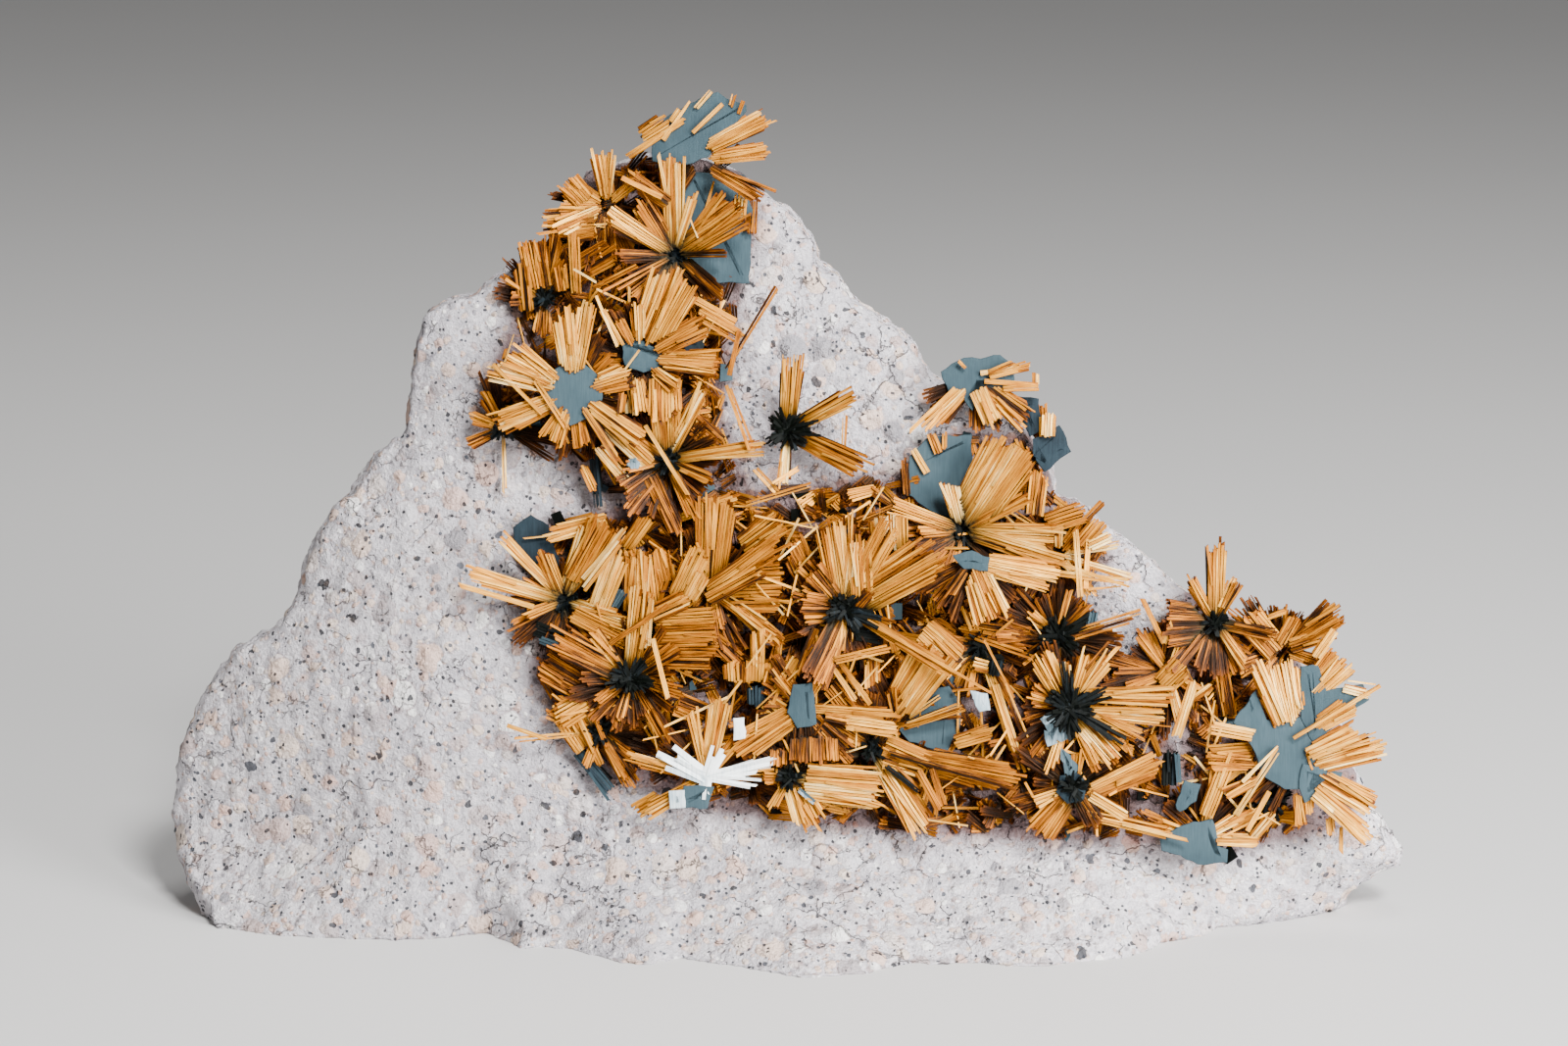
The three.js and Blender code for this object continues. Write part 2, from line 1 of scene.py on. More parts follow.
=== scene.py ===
"""Rutile on hematite: golden six-rayed rutile stars and grey hematite plates on a slab of
pale volcanic tuff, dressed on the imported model."""

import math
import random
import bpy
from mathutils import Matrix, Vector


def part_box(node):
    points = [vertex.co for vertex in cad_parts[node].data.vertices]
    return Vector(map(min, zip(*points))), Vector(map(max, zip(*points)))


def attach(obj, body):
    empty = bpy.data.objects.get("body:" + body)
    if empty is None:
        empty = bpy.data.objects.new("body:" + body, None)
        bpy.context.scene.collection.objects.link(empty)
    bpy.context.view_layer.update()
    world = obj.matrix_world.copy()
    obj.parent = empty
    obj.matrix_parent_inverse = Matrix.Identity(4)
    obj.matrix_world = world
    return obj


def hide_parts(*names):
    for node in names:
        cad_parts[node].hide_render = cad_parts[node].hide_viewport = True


bl_info = {
    "name": "Rutile on hematite",
    "version": (1, 0, 0),
    "blender": (4, 5, 0),
    "location": "View3D > Sidebar > Specimen",
    "description": "Builds the stone, the hematite, the rutile stars and the stage of a mineral specimen",
    "category": "Object",
}

import bmesh
import bpy
from bpy.props import FloatProperty, FloatVectorProperty, IntProperty, PointerProperty
from mathutils import Matrix, Vector, noise
from mathutils.bvhtree import BVHTree

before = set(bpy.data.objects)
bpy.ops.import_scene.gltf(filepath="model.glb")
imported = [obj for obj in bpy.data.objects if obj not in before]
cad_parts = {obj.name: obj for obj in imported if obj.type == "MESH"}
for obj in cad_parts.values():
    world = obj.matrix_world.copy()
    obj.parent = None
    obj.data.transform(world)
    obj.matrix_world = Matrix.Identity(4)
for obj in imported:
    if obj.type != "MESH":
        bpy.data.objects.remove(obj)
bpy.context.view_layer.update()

MM = 0.001
LEAN = math.radians(12)
ACROSS = Vector((1, 0, 0))
UP_FACE = Vector((0, math.sin(LEAN), math.cos(LEAN)))
OUT_FACE = Vector((0, -math.cos(LEAN), math.sin(LEAN)))


def face_point(u, v, w):
    """A place given in millimetres across, up and out from the leaning crystal face."""
    return (ACROSS * u + UP_FACE * v + OUT_FACE * w) * MM


# Sizes and colours.


class StoneSizes(bpy.types.PropertyGroup):
    voxel: FloatProperty(
        name="Grain of the mesh", description="Edge length of the stone's skin",
        default=0.00052, subtype="DISTANCE", unit="LENGTH")
    lump: FloatProperty(
        name="Lump height", description="Height of the broken lumps and ledges",
        default=0.00038, subtype="DISTANCE", unit="LENGTH")
    knob: FloatProperty(
        name="Knob height", description="Height at which the rock fragments stand proud",
        default=0.0005, subtype="DISTANCE", unit="LENGTH")
    pale: FloatVectorProperty(
        name="Matrix colour", description="The fine ground of the tuff",
        default=(0.57, 0.545, 0.565), subtype="COLOR", size=3)


class CrystalSizes(bpy.types.PropertyGroup):
    lath_width: FloatProperty(
        name="Lath width", description="Width of one rutile lath",
        default=0.00034, subtype="DISTANCE", unit="LENGTH")
    lath_thick: FloatProperty(
        name="Lath thickness", description="Thickness of one rutile lath",
        default=0.00030, subtype="DISTANCE", unit="LENGTH")
    plate_thick: FloatProperty(
        name="Plate thickness", description="Thickness of a hematite plate",
        default=0.00038, subtype="DISTANCE", unit="LENGTH")
    seed: IntProperty(
        name="Seed", description="Changes how the laths break", default=7)


class StageSizes(bpy.types.PropertyGroup):
    distance: FloatProperty(
        name="Camera distance", description="From the crystal face to the camera",
        default=0.444, subtype="DISTANCE", unit="LENGTH")
    lens: FloatProperty(
        name="Lens", description="Focal length in millimetres", default=100)
    floor_colour: FloatVectorProperty(
        name="Floor", description="Colour of the plain floor",
        default=(0.62, 0.61, 0.60), subtype="COLOR", size=3)


# The stars.

# Shades of a rutile ray, from brown through golden to pale straw.
BROWN, ORANGE, GOLD, STRAW, PALE = 0.12, 0.3, 0.52, 0.7, 0.88
# Shades of hematite, from black through blue-grey to silver white; the silver white is
# painted reflection.
BLACK, TEAL, BLUE, SILVER_GLARE = 0.04, 0.3, 0.6, 1.0


def hexagon(u, v, radius, degrees):
    """Corners of a six-sided plate."""
    turns = [math.radians(degrees + 60 * k) for k in range(6)]
    return [(u + radius * math.cos(t), v + radius * math.sin(t)) for t in turns]


# Each star: core (across, up, out), tilt of its plane, how much its rays rise like a
# bowl, its rays (direction in degrees, length, width, shade and, where it isn't the
# core, the start), the sector filled by short rays below, and its hematite: the reach
# and number of black blades at the core, long blades (direction, length, width) and the
# outlines of plates, some with a shade and lift of their own. Needles cross the star:
# both ends (across, up), width, shade and lift.
STARS = {
    "01_crown": dict(
        at=(-8.8, 78.5, 4.2), core=0.8, lifted=0.35, tilt=(0.05, -0.05),
        rays=[(28, 8, 2.4, STRAW, -8.2, 79.4), (8, 6.8, 2, GOLD, -8, 78.4),
              (-31, 7.4, 2, ORANGE, -8, 77.6)],
        fill=(150, 330), shade=BLUE,
        plates=[[(-13.8, 81.2), (-12, 82.8), (-9.3, 84.2), (-7, 85.2), (-6.1, 84.5), (-4.1, 83.8),
                 (-4.1, 83.2), (-8, 78.6), (-10.3, 77.8), (-13.6, 78.2)]],
        needles=[(-16.3, 78.5, -9.6, 82.8, 0.8, STRAW, 0.5), (-9.5, 81, -6.5, 83.9, 0.4, STRAW, 0.4),
                 (-12.5, 80.3, -9.8, 84.2, 0.5, STRAW, 0.3)]),
    "02_summit": dict(
        at=(-11.3, 68.8, 2.8), black=(1.6, 12), bowl=0.35,
        rays=[(92, 10.5, 2.8, STRAW), (50, 8.5, 1.4, GOLD), (32, 9.2, 3.8, GOLD), (0, 6, 1, BROWN),
              (148, 8.5, 2, STRAW), (210, 8.5, 0.8, ORANGE), (122, 7, 2.4, ORANGE), (72, 7, 1.2, STRAW)],
        fill=(60, 330), lift=-0.9, shade=BLUE,
        plates=[[(-12, 68.6), (-9.1, 66), (-3.8, 66), (-3.5, 73.5), (-4.3, 77), (-10.1, 77.5)]],
        needles=[(-11.8, 73.8, -16.3, 77.2, 0.8, ORANGE, 1.2),
                 (-12.6, 74.4, -16.6, 76.3, 0.5, GOLD, 1.4)]),
    "03_shoulder": dict(
        at=(-18.3, 73.8, 2.2), bowl=0.1,
        rays=[(100, 6.2, 1.4, STRAW), (86, 6.2, 1.4, STRAW), (150, 4.6, 2.2, GOLD), (180, 5, 2, GOLD),
              (205, 6.4, 2.2, STRAW), (40, 5, 1.4, GOLD)],
        fill=(160, 360)),
    "05_left_comb": dict(
        at=(-24.6, 64.4, 1.6), black=(1.4, 10), bowl=0.2,
        rays=[(95, 6.4, 3, ORANGE), (112, 6.6, 1.4, ORANGE), (78, 8, 1.2, ORANGE), (60, 5, 1.6, ORANGE),
              (150, 4.5, 1.4, GOLD), (-95, 4, 2, ORANGE), (180, 4, 1.6, ORANGE)],
        fill=(20, 170)),
    "06_sheet": dict(
        at=(-14.8, 58.2, 4.6), core=1.4, lifted=0.35, bowl=0.06,
        rays=[(65, 10, 5.8, 0.64), (28, 8, 2.8, ORANGE), (-4, 8.8, 3, GOLD), (118, 5, 1.2, GOLD),
              (92, 6, 1.6, STRAW), (-40, 5, 1.6, GOLD), (59, 11.6, 0.7, ORANGE, -6.2, 57)],
        fill=(0, 360), shade=BLUE, plates=[
            [(-16.6, 60.3), (-15, 60.3), (-13, 59.2), (-10.8, 59.2), (-11.4, 58), (-14.5, 56.8),
             (-16.4, 57.6)],
            (0.16, 0.3, [(-10.6, 59.8), (-9.3, 61.1), (-8.3, 59.6), (-8.6, 58.9), (-10.2, 58.9)])],
        needles=[(-5.8, 56.5, -4.8, 61, 0.5, ORANGE, 0.6), (-9.3, 64.2, -4.2, 61.4, 0.9, GOLD, 0.2),
                 (-9, 63.2, -4, 60.3, 0.9, GOLD, 0.1), (-8.6, 62.3, -4.1, 59.6, 0.9, GOLD, 0)]),
    "08_wheel": dict(
        at=(-21.5, 54.8, 6), core=1.7, lifted=0.35,
        rays=[(97, 8.8, 3, STRAW), (80, 9.8, 2.2, STRAW), (140, 7.8, 1.6, STRAW), (152, 8.2, 2, STRAW),
              (165, 9.2, 2.4, PALE), (203, 8.8, 2.8, STRAW), (235, 6, 1.2, GOLD), (250, 6.2, 1.8, STRAW),
              (-57, 9.5, 1, GOLD), (-35, 9.5, 2.4, STRAW), (17, 6.2, 3.2, STRAW)],
        fill=(250, 470), shade=BLUE, plates=[
            hexagon(-21.5, 54.8, 3.4, 25), (0.8, -1.8, hexagon(-15.5, 47.6, 0.7, 10))],
        needles=[(-25.3, 56, -21.3, 50, 0.7, STRAW, 0.9), (-16.7, 52.5, -16.5, 55, 0.9, ORANGE, 0.6),
                 (-29.5, 57.6, -24.6, 52.6, 0.35, STRAW, 0.7)]),
    "09_under_wheel": dict(
        at=(-12.1, 48, 3.1), black=(1.5, 12), bowl=0.23,
        rays=[(92, 8.5, 3.8, GOLD), (63, 8.5, 1.8, STRAW), (8, 11, 1.6, STRAW), (145, 8.5, 1.4, GOLD),
              (-25, 5.5, 1.4, GOLD), (-65, 7.5, 1.6, ORANGE), (190, 5, 1.4, ORANGE)],
        fill=(0, 360),
        needles=[(-6.1, 55.5, -3.8, 49, 0.35, GOLD, 0.4), (-14.3, 51.5, -10, 44.5, 0.4, STRAW, 0.8)]),
    "10_left_edge": dict(
        at=(-28.8, 51.3, 1.8), black=(1.5, 12), bowl=0.1,
        rays=[(160, 3.8, 1.4, GOLD), (205, 4.6, 1.4, ORANGE), (120, 4.4, 1.4, GOLD),
              (-88, 7.6, 0.6, STRAW), (40, 4, 1.4, GOLD)],
        fill=(-40, 120)),
    "11_lone": dict(
        at=(0, 51, 2.2), black=(2.2, 20), bowl=0.38,
        rays=[(85, 8.5, 2.6, STRAW), (28, 9.2, 2.2, GOLD), (-27, 9.5, 2.8, GOLD), (-95, 6, 1.4, STRAW)],
        lift=1.6, shade=BLACK, blades=[(4, 3.6, 1.4), (150, 2.2, 1.2), (215, 2.2, 1.2)],
        needles=[(5.7, 49, 5.9, 53, 0.6, STRAW, -1.5), (-1.5, 45.5, 1.7, 47.5, 0.6, STRAW, 0.2)]),
    "12_right_crest": dict(
        at=(19, 56.2, 2.4), core=1.2, lifted=0.35, tilt=(0.04, -0.06),
        rays=[(-38, 7.5, 2.8, GOLD), (-65, 5.5, 2, STRAW), (225, 7.4, 1.8, STRAW), (15, 6, 1.2, GOLD)],
        fill=(200, 330), lift=0.9, shade=BLUE, plates=[
            [(15.6, 57), (17.9, 58.4), (19.6, 58.3), (21.6, 58.7), (23, 57.7), (22.9, 54.9), (19.6, 55.4),
             (18.8, 53), (17.8, 54.6), (16.4, 54.8)]],
        needles=[(17, 55.3, 12.4, 50.9, 0.4, STRAW, 0.6), (19.6, 56.8, 24.6, 57.6, 0.5, PALE, 0.5),
                 (20, 56, 25.4, 55.6, 0.5, GOLD, 0.4)]),
    "13_right_notch": dict(
        at=(26.2, 49.6, 0.6), over=True,
        rays=[(95, 4.5, 1.4, ORANGE), (120, 4.4, 1.2, ORANGE), (230, 4, 1.4, ORANGE)],
        lift=0.9, shade=TEAL,
        plates=[[(23.2, 54.6), (25.6, 54.3), (25.8, 51), (24.7, 50.4), (23.8, 52)],
                [(25, 50.2), (27.7, 51.6), (28.9, 48.9), (27.8, 48.2), (26.2, 46.8), (25.3, 48)]]),
    "14_great_fan": dict(
        at=(17.7, 40.9, 3.2), black=(2.1, 20), bowl=0.24,
        rays=[(58, 11.5, 6.8, STRAW), (105, 5.5, 2, PALE), (160, 8.8, 2, GOLD), (182, 5, 1.4, GOLD),
              (-3, 10.8, 2.4, STRAW), (-17, 11.5, 2.4, STRAW), (28, 8, 2, GOLD)],
        fill=(170, 380), lift=-1, shade=BLUE,
        plates=[[(17.4, 41), (19, 42), (18.8, 50.6), (15.7, 50.5), (14.1, 50.2), (12.4, 48.4),
                 (12.1, 44.6)]]),
    "15_under_fan": dict(
        at=(18.5, 37.8, 6.2), over=True, bowl=-0.04,
        rays=[(-68, 7, 4.2, STRAW), (-12, 9.5, 3.4, STRAW), (-125, 4.5, 1.4, ORANGE)],
        fill=(200, 350), shade=BLUE,
        plates=[[(16.6, 38.4), (17.8, 37), (20.2, 36.8), (20.4, 38.2), (18.6, 38.9)]]),
    "16_right_splinters": dict(
        at=(27.6, 38.4, 1.8), bowl=0.1,
        rays=[(48, 5.4, 2.4, ORANGE), (-18, 8.6, 1, PALE), (-50, 6, 1.2, STRAW), (90, 5.6, 1.2, STRAW),
              (12, 6.5, 1, PALE)],
        fill=(120, 280),
        needles=[(29.2, 41, 29.8, 33.5, 0.7, PALE, 1.2), (26.2, 36.7, 35.7, 35.6, 0.8, PALE, 1),
                 (28, 37.4, 34.6, 35.2, 0.5, STRAW, 1.2), (30.5, 40, 30.2, 35, 0.5, STRAW, 0.8)]),
    "17_heart": dict(
        at=(5.9, 33, 4.4), black=(1.6, 14), bowl=0.2,
        rays=[(97, 10, 4.2, STRAW), (80, 7.5, 2, PALE), (62, 10.5, 3, 0.56), (31, 12, 5.2, 0.6),
              (178, 4.8, 3.6, ORANGE), (246, 9, 3.4, ORANGE), (-31, 13.5, 1.6, GOLD),
              (-96, 4.5, 0.8, GOLD), (130, 5.5, 2.4, ORANGE)],
        fill=(0, 360), lift=1, shade=BLACK,
        blades=[(-20, 4, 1.8), (-60, 3, 1.6), (200, 2.6, 1.2), (140, 2, 1)],
        needles=[(4.7, 27.8, 11.9, 29.6, 1, GOLD, 0.7), (7.4, 32.2, 20.5, 24.6, 0.5, GOLD, 0.6)]),
    "19_middle_fan": dict(
        at=(-7.8, 35, 2.4), bowl=0.2,
        rays=[(85, 10, 4.6, GOLD), (32, 9.2, 2.6, GOLD), (-3, 8, 3.6, GOLD), (-35, 8.5, 2, STRAW),
              (118, 5, 2.6, GOLD), (-80, 5, 2, ORANGE)],
        fill=(0, 360)),
    "20_spear": dict(
        at=(-22.6, 33.8, 3), black=(1.7, 14), bowl=0.16,
        rays=[(133, 9.8, 1.4, STRAW), (163, 10.8, 2, STRAW), (112, 6, 2, GOLD), (68, 9.5, 3, STRAW),
              (48, 9, 0.9, PALE), (-18, 7.2, 1.6, STRAW), (200, 4.5, 1.4, GOLD)],
        fill=(60, 330), lift=-0.9, shade=TEAL,
        plates=[[(-23.4, 33.4), (-22, 34.6), (-24.2, 41.4), (-26, 42.5), (-27.8, 41.2), (-27.6, 38.8)]],
        needles=[(-20.6, 36, -16.4, 41, 0.5, PALE, 0.6), (-25.6, 33.2, -33, 35.4, 0.5, STRAW, 0.4)]),
    "21_lower_left": dict(
        at=(-15.8, 26, 4.2), black=(1.9, 16), bowl=0.22,
        rays=[(82, 10, 2.6, STRAW), (128, 7, 1.6, GOLD), (150, 9.5, 3.4, ORANGE), (-105, 5, 0.9, GOLD),
              (-15, 6, 1.6, ORANGE), (215, 5, 1.6, ORANGE)],
        fill=(0, 360), lift=1, shade=BLACK, blades=[(-10, 3, 1.4), (60, 2.4, 1.2), (190, 2.8, 1.2)],
        needles=[(-13.5, 30, -12, 24, 0.5, STRAW, 0.7), (-17.8, 29.5, -12, 33.4, 0.5, ORANGE, 0.6)]),
    "22_brown_comb": dict(
        at=(-13.8, 30.4, 2.2), bowl=0.1,
        rays=[(-4, 7.8, 5, ORANGE), (100, 9.5, 4, GOLD), (40, 6, 1.6, ORANGE)],
        fill=(0, 360)),
    "23_foot_left": dict(
        at=(-19.1, 20.5, 2.4), black=(1.5, 12), bowl=0.12,
        rays=[(150, 6, 3, GOLD), (120, 5.5, 1.6, STRAW), (186, 9, 0.8, STRAW), (-60, 6, 1, GOLD),
              (40, 5, 1.6, ORANGE), (-110, 4, 1.2, GOLD)],
        fill=(-60, 120),
        needles=[(-21.8, 23.5, -19.3, 18, 0.7, GOLD, 0.5), (-28.3, 21.2, -24.3, 19.8, 0.4, STRAW, 0.3),
                 (-20.4, 24.3, -18.2, 19, 0.5, ORANGE, 0.4)]),
    # Its silver-white blades and pale plates are painted reflection on hematite.
    "24_white_plates": dict(
        at=(-8.1, 16, 4.8), over=True,
        rays=[(165, 9.5, 1.5, STRAW), (103, 7.8, 1.5, STRAW), (80, 8.8, 2.4, STRAW), (3, 7.5, 1.6, STRAW),
              (210, 7.8, 1.8, STRAW), (50, 6, 1.4, GOLD)],
        fill=(20, 150), lift=0.7, shade=SILVER_GLARE,
        blades=[(153, 5.6, 2.6), (68, 3.4, 1.8), (12, 7.2, 1.9), (-6, 5.6, 1.2), (-100, 2.4, 1.6)],
        plates=[(0.62, 0.7, [(-10.4, 15.2), (-7.3, 15.1), (-8, 12.9), (-11, 13.1)]),
                (0.95, 0.8, [(-11.8, 12.9), (-11.9, 14.7), (-10.3, 14.8), (-10.2, 13)]),
                (0.95, 1.0, [(-5.4, 19.8), (-5.4, 22), (-4.3, 22.1), (-4.2, 20)])]),
    "25_blue_cube": dict(
        at=(1.7, 23, 5), over=True,
        rays=[(212, 8.5, 3.6, GOLD), (-4, 10, 1.4, GOLD), (-45, 7.5, 2, ORANGE), (-88, 5.5, 4.6, BROWN),
              (60, 5.5, 1.2, GOLD), (130, 5, 1.4, GOLD)],
        fill=(0, 360), lift=0.8, shade=BLUE,
        plates=[[(0, 22.6), (0.6, 25.4), (2.6, 25.6), (3, 21.4), (1, 21)]],
        needles=[(4.7, 27, 7.5, 23, 0.6, STRAW, 0.6), (5.4, 27.6, 8.4, 23.4, 0.5, GOLD, 0.5)]),
    "26_foot_middle": dict(
        at=(0.2, 16, 5.4), black=(1.3, 10),
        rays=[(-8, 10, 3.2, STRAW), (-64, 6.4, 2, GOLD), (180, 3, 1.4, GOLD), (90, 3.6, 2.2, BROWN),
              (-120, 4, 1.2, GOLD)],
        fill=(0, 180)),
    "27_foot_fan": dict(
        at=(8.7, 18.8, 3.6), black=(1.3, 10), bowl=0.08,
        rays=[(-10, 16, 2.4, ORANGE), (-58, 10.5, 3.4, STRAW), (150, 4.5, 1.6, GOLD),
              (-38, 7, 1.6, ORANGE), (60, 4, 1.4, ORANGE)],
        fill=(-60, 200),
        needles=[(13.2, 16.8, 15.5, 12.6, 0.9, ORANGE, 1.1), (14.6, 17, 15.9, 12.8, 0.8, ORANGE, 1),
                 (10.2, 18.5, 24.5, 14.7, 0.6, ORANGE, 0.8)]),
    "28_grey_plate": dict(
        at=(11.4, 20.8, 2), bowl=0.3,
        rays=[(57, 9.5, 5.2, STRAW, 10.6, 21.8), (100, 4.5, 1.6, GOLD), (20, 8, 1.2, GOLD)],
        fill=(0, 180), lift=-0.6, shade=BLUE,
        plates=[[(11.4, 20.6), (12.4, 19.4), (16.2, 18.2), (17.5, 20.6), (17.8, 23), (16.5, 25.1),
                 (14, 24.6), (11.9, 21.6)], (0.85, 0.9, [(18.5, 24.7), (20.3, 24.4), (20.6, 22.7),
                 (19.5, 22.5)])]),
    "29_gap_blades": dict(
        at=(19.6, 29.2, 1.6), black=(1.6, 12), bowl=0.1,
        rays=[(-12, 8.4, 3.2, 0.36, 17.3, 31), (175, 4.5, 2, ORANGE), (-72, 14, 1.3, STRAW),
              (40, 5, 1.4, GOLD), (110, 4.5, 1.4, GOLD)],
        fill=(0, 360),
        needles=[(20.9, 25.5, 24.2, 15.5, 1.2, STRAW, 1), (21.8, 25.8, 25.4, 16.5, 0.8, GOLD, 0.8)]),
    "31_pyramid": dict(
        at=(27.4, 30.2, 2.6), black=(2.0, 16), bowl=0.05,
        rays=[(16, 9.9, 0.8, GOLD), (75, 5.7, 0.8, STRAW), (140, 4, 1.4, GOLD), (45, 5, 1.4, ORANGE)],
        fill=(0, 360), lift=1.2, shade=BLACK,
        blades=[(30, 4, 1.4), (-40, 2.6, 1.4), (120, 2.2, 1.4), (200, 2.4, 1.2)],
        needles=[(27.2, 29.5, 36.7, 32.3, 0.7, ORANGE, 0.9), (27.2, 30, 28.7, 35.5, 0.6, ORANGE, 0.9)]),
    "32_black_cross": dict(
        at=(28.5, 23, 4.6), black=(2.3, 22), bowl=0.1,
        rays=[(-1, 10, 2.2, STRAW, 29.7, 24.3), (-4, 9.8, 2, STRAW, 29.7, 22.6), (-22, 8, 1.6, GOLD),
              (-47, 7.8, 3, STRAW), (-66, 7.5, 1.8, GOLD), (-108, 7.2, 1.2, STRAW), (118, 6.8, 2.8, STRAW),
              (97, 5.2, 1.2, STRAW), (73, 6.6, 1.4, STRAW), (52, 7, 1.8, STRAW), (165, 4.5, 1.6, GOLD)],
        fill=(90, 270), lift=1, shade=BLACK,
        blades=[(25, 4.4, 1.2), (-32, 6.9, 1.2), (-88, 3.6, 1.3), (95, 5.2, 1.3), (150, 3, 1.4),
                (215, 3, 1.4)],
        plates=[(0.8, 0.7, [(25.5, 21.9), (26.4, 22.6), (27.2, 21.6), (26, 21.3)]),
                (0.72, 0.6, [(26.1, 21.2), (28, 21.4), (28.2, 20.1), (26.4, 19.4)]),
                (0.78, 0.5, [(27.7, 18.8), (29.6, 17), (28, 15.9)])]),
    "33_foot_right": dict(
        at=(28.9, 15, 4.8), over=True, black=(1.5, 10), bowl=0.04,
        rays=[(23, 9.6, 2.8, GOLD, 30, 14.2), (-13, 11, 1.6, STRAW, 29.6, 12.4), (200, 4.6, 1.4, STRAW),
              (233, 6.4, 3.4, 0.38), (-60, 5, 2.4, BROWN), (80, 4, 1.4, GOLD)],
        fill=(0, 230), lift=0.7, shade=TEAL, plates=[hexagon(28.7, 15, 1.7, 15)]),
    "34_tower": dict(
        at=(43.5, 31.5, 2), black=(1.3, 10), bowl=0.18,
        rays=[(90, 9, 2.4, GOLD), (180, 5.8, 5.4, BROWN), (-55, 6, 1.2, STRAW), (62, 5, 1.2, ORANGE),
              (-12, 6.5, 1.6, BROWN), (120, 6, 1.4, GOLD)],
        fill=(170, 350)),
    "35_edge_comb": dict(
        at=(50.2, 28.8, 1), bowl=0.2,
        rays=[(133, 5.2, 3, ORANGE), (62, 4.4, 1.2, ORANGE), (48, 7.2, 0.8, ORANGE), (33, 8, 3, GOLD),
              (-20, 5, 1.6, ORANGE)],
        fill=(60, 260)),
    "36_great_plate": dict(
        at=(51.5, 18, 4.6), core=1.6, lifted=0.35,
        rays=[(102, 7.2, 5, PALE, 50.9, 21.1), (46, 5.6, 4, STRAW, 52.6, 24.4),
              (32, 5, 2.6, STRAW, 52.9, 20.9), (26, 5.8, 2, STRAW, 52.6, 18.7),
              (17, 8, 3.2, STRAW, 53, 17.2), (-30, 7.4, 2.8, STRAW, 53.4, 16.3),
              (-40, 8, 2, STRAW, 52.9, 14.8), (-85, 4, 1.4, GOLD, 51.4, 14.6),
              (176, 5.6, 2.2, GOLD, 47.4, 17.4), (205, 4.4, 1.6, GOLD, 47.6, 16)],
        fill=(120, 260), lift=0.7, shade=BLUE,
        plates=[[(45, 21.5), (47.3, 24.8), (48.4, 21.8), (50.2, 21.4), (52.2, 22.4), (54, 21.5),
                 (53.8, 18.5), (53, 16.2), (52.2, 14.8), (50.2, 14.8), (48.2, 16), (47.2, 18.5),
                 (46.2, 20.4)], (0.6, 0.1, [(51.8, 22), (51.8, 27.2), (53.6, 27.3), (54.4, 24.8),
                 (58.1, 25.4), (58.7, 23.8), (56, 22), (54.4, 20.4), (53, 19.6)]), (0.6, 0.2, [(52, 17.4),
                 (56, 16.5), (55.7, 15.7), (53.7, 16), (53.2, 13.9), (52.2, 13.4), (51.6, 15)])],
        needles=[(51, 20, 59.7, 25.3, 0.35, STRAW, 0.9), (48.6, 14.6, 46.4, 10.6, 0.5, STRAW, 0.3),
                 (45.8, 15.6, 49.4, 19.2, 0.4, PALE, 0.9), (47.2, 20.2, 42.2, 21.1, 1.4, STRAW, 0.3)]),
    "37_corner": dict(
        at=(41.9, 9.8, 4.2), over=True,
        rays=[(-3, 6.2, 1.8, STRAW), (78, 9.4, 1.4, GOLD), (160, 5, 1.4, STRAW), (30, 5.5, 1.4, STRAW)],
        fill=(20, 170), lift=0.7, shade=BLUE,
        plates=[[(37.6, 10), (40.4, 11.3), (42.9, 11.8), (43.7, 9), (44.5, 8.7), (44.4, 7.4), (41.4, 7.2),
                 (39.7, 8.1), (37.8, 8.6)],
                [(39.2, 13.2), (40.1, 15.7), (41.8, 15.3), (41.3, 13.6), (39.6, 12.5)]],
        needles=[(39.2, 20, 41.4, 27.2, 1.2, STRAW, 0.2), (42.2, 12, 44.2, 18.5, 0.6, GOLD, 0.4)]),
    "38_black_rosette": dict(
        at=(48.7, 13.6, 1.6), black=(2.2, 22), rays=[], lift=0.6, shade=BLACK,
        blades=[(20, 2.6, 1.6), (100, 2.2, 1.6), (165, 3.6, 1.6), (215, 2.6, 1.6), (285, 2.4, 1.6),
                (330, 2.2, 1.6)]),
    "39_small_disc": dict(
        at=(38.6, 26.4, 1.8), bowl=0.1,
        rays=[(128, 5.8, 0.8, GOLD), (70, 6, 0.8, STRAW), (-75, 5.4, 1.2, STRAW), (-30, 4.6, 1.4, GOLD),
              (200, 5, 1.4, GOLD)],
        fill=(60, 300),
        needles=[(38.2, 29.5, 36, 34, 0.5, GOLD, 0.5), (38.2, 29.5, 39, 31.5, 0.5, STRAW, 0.5)]),
}


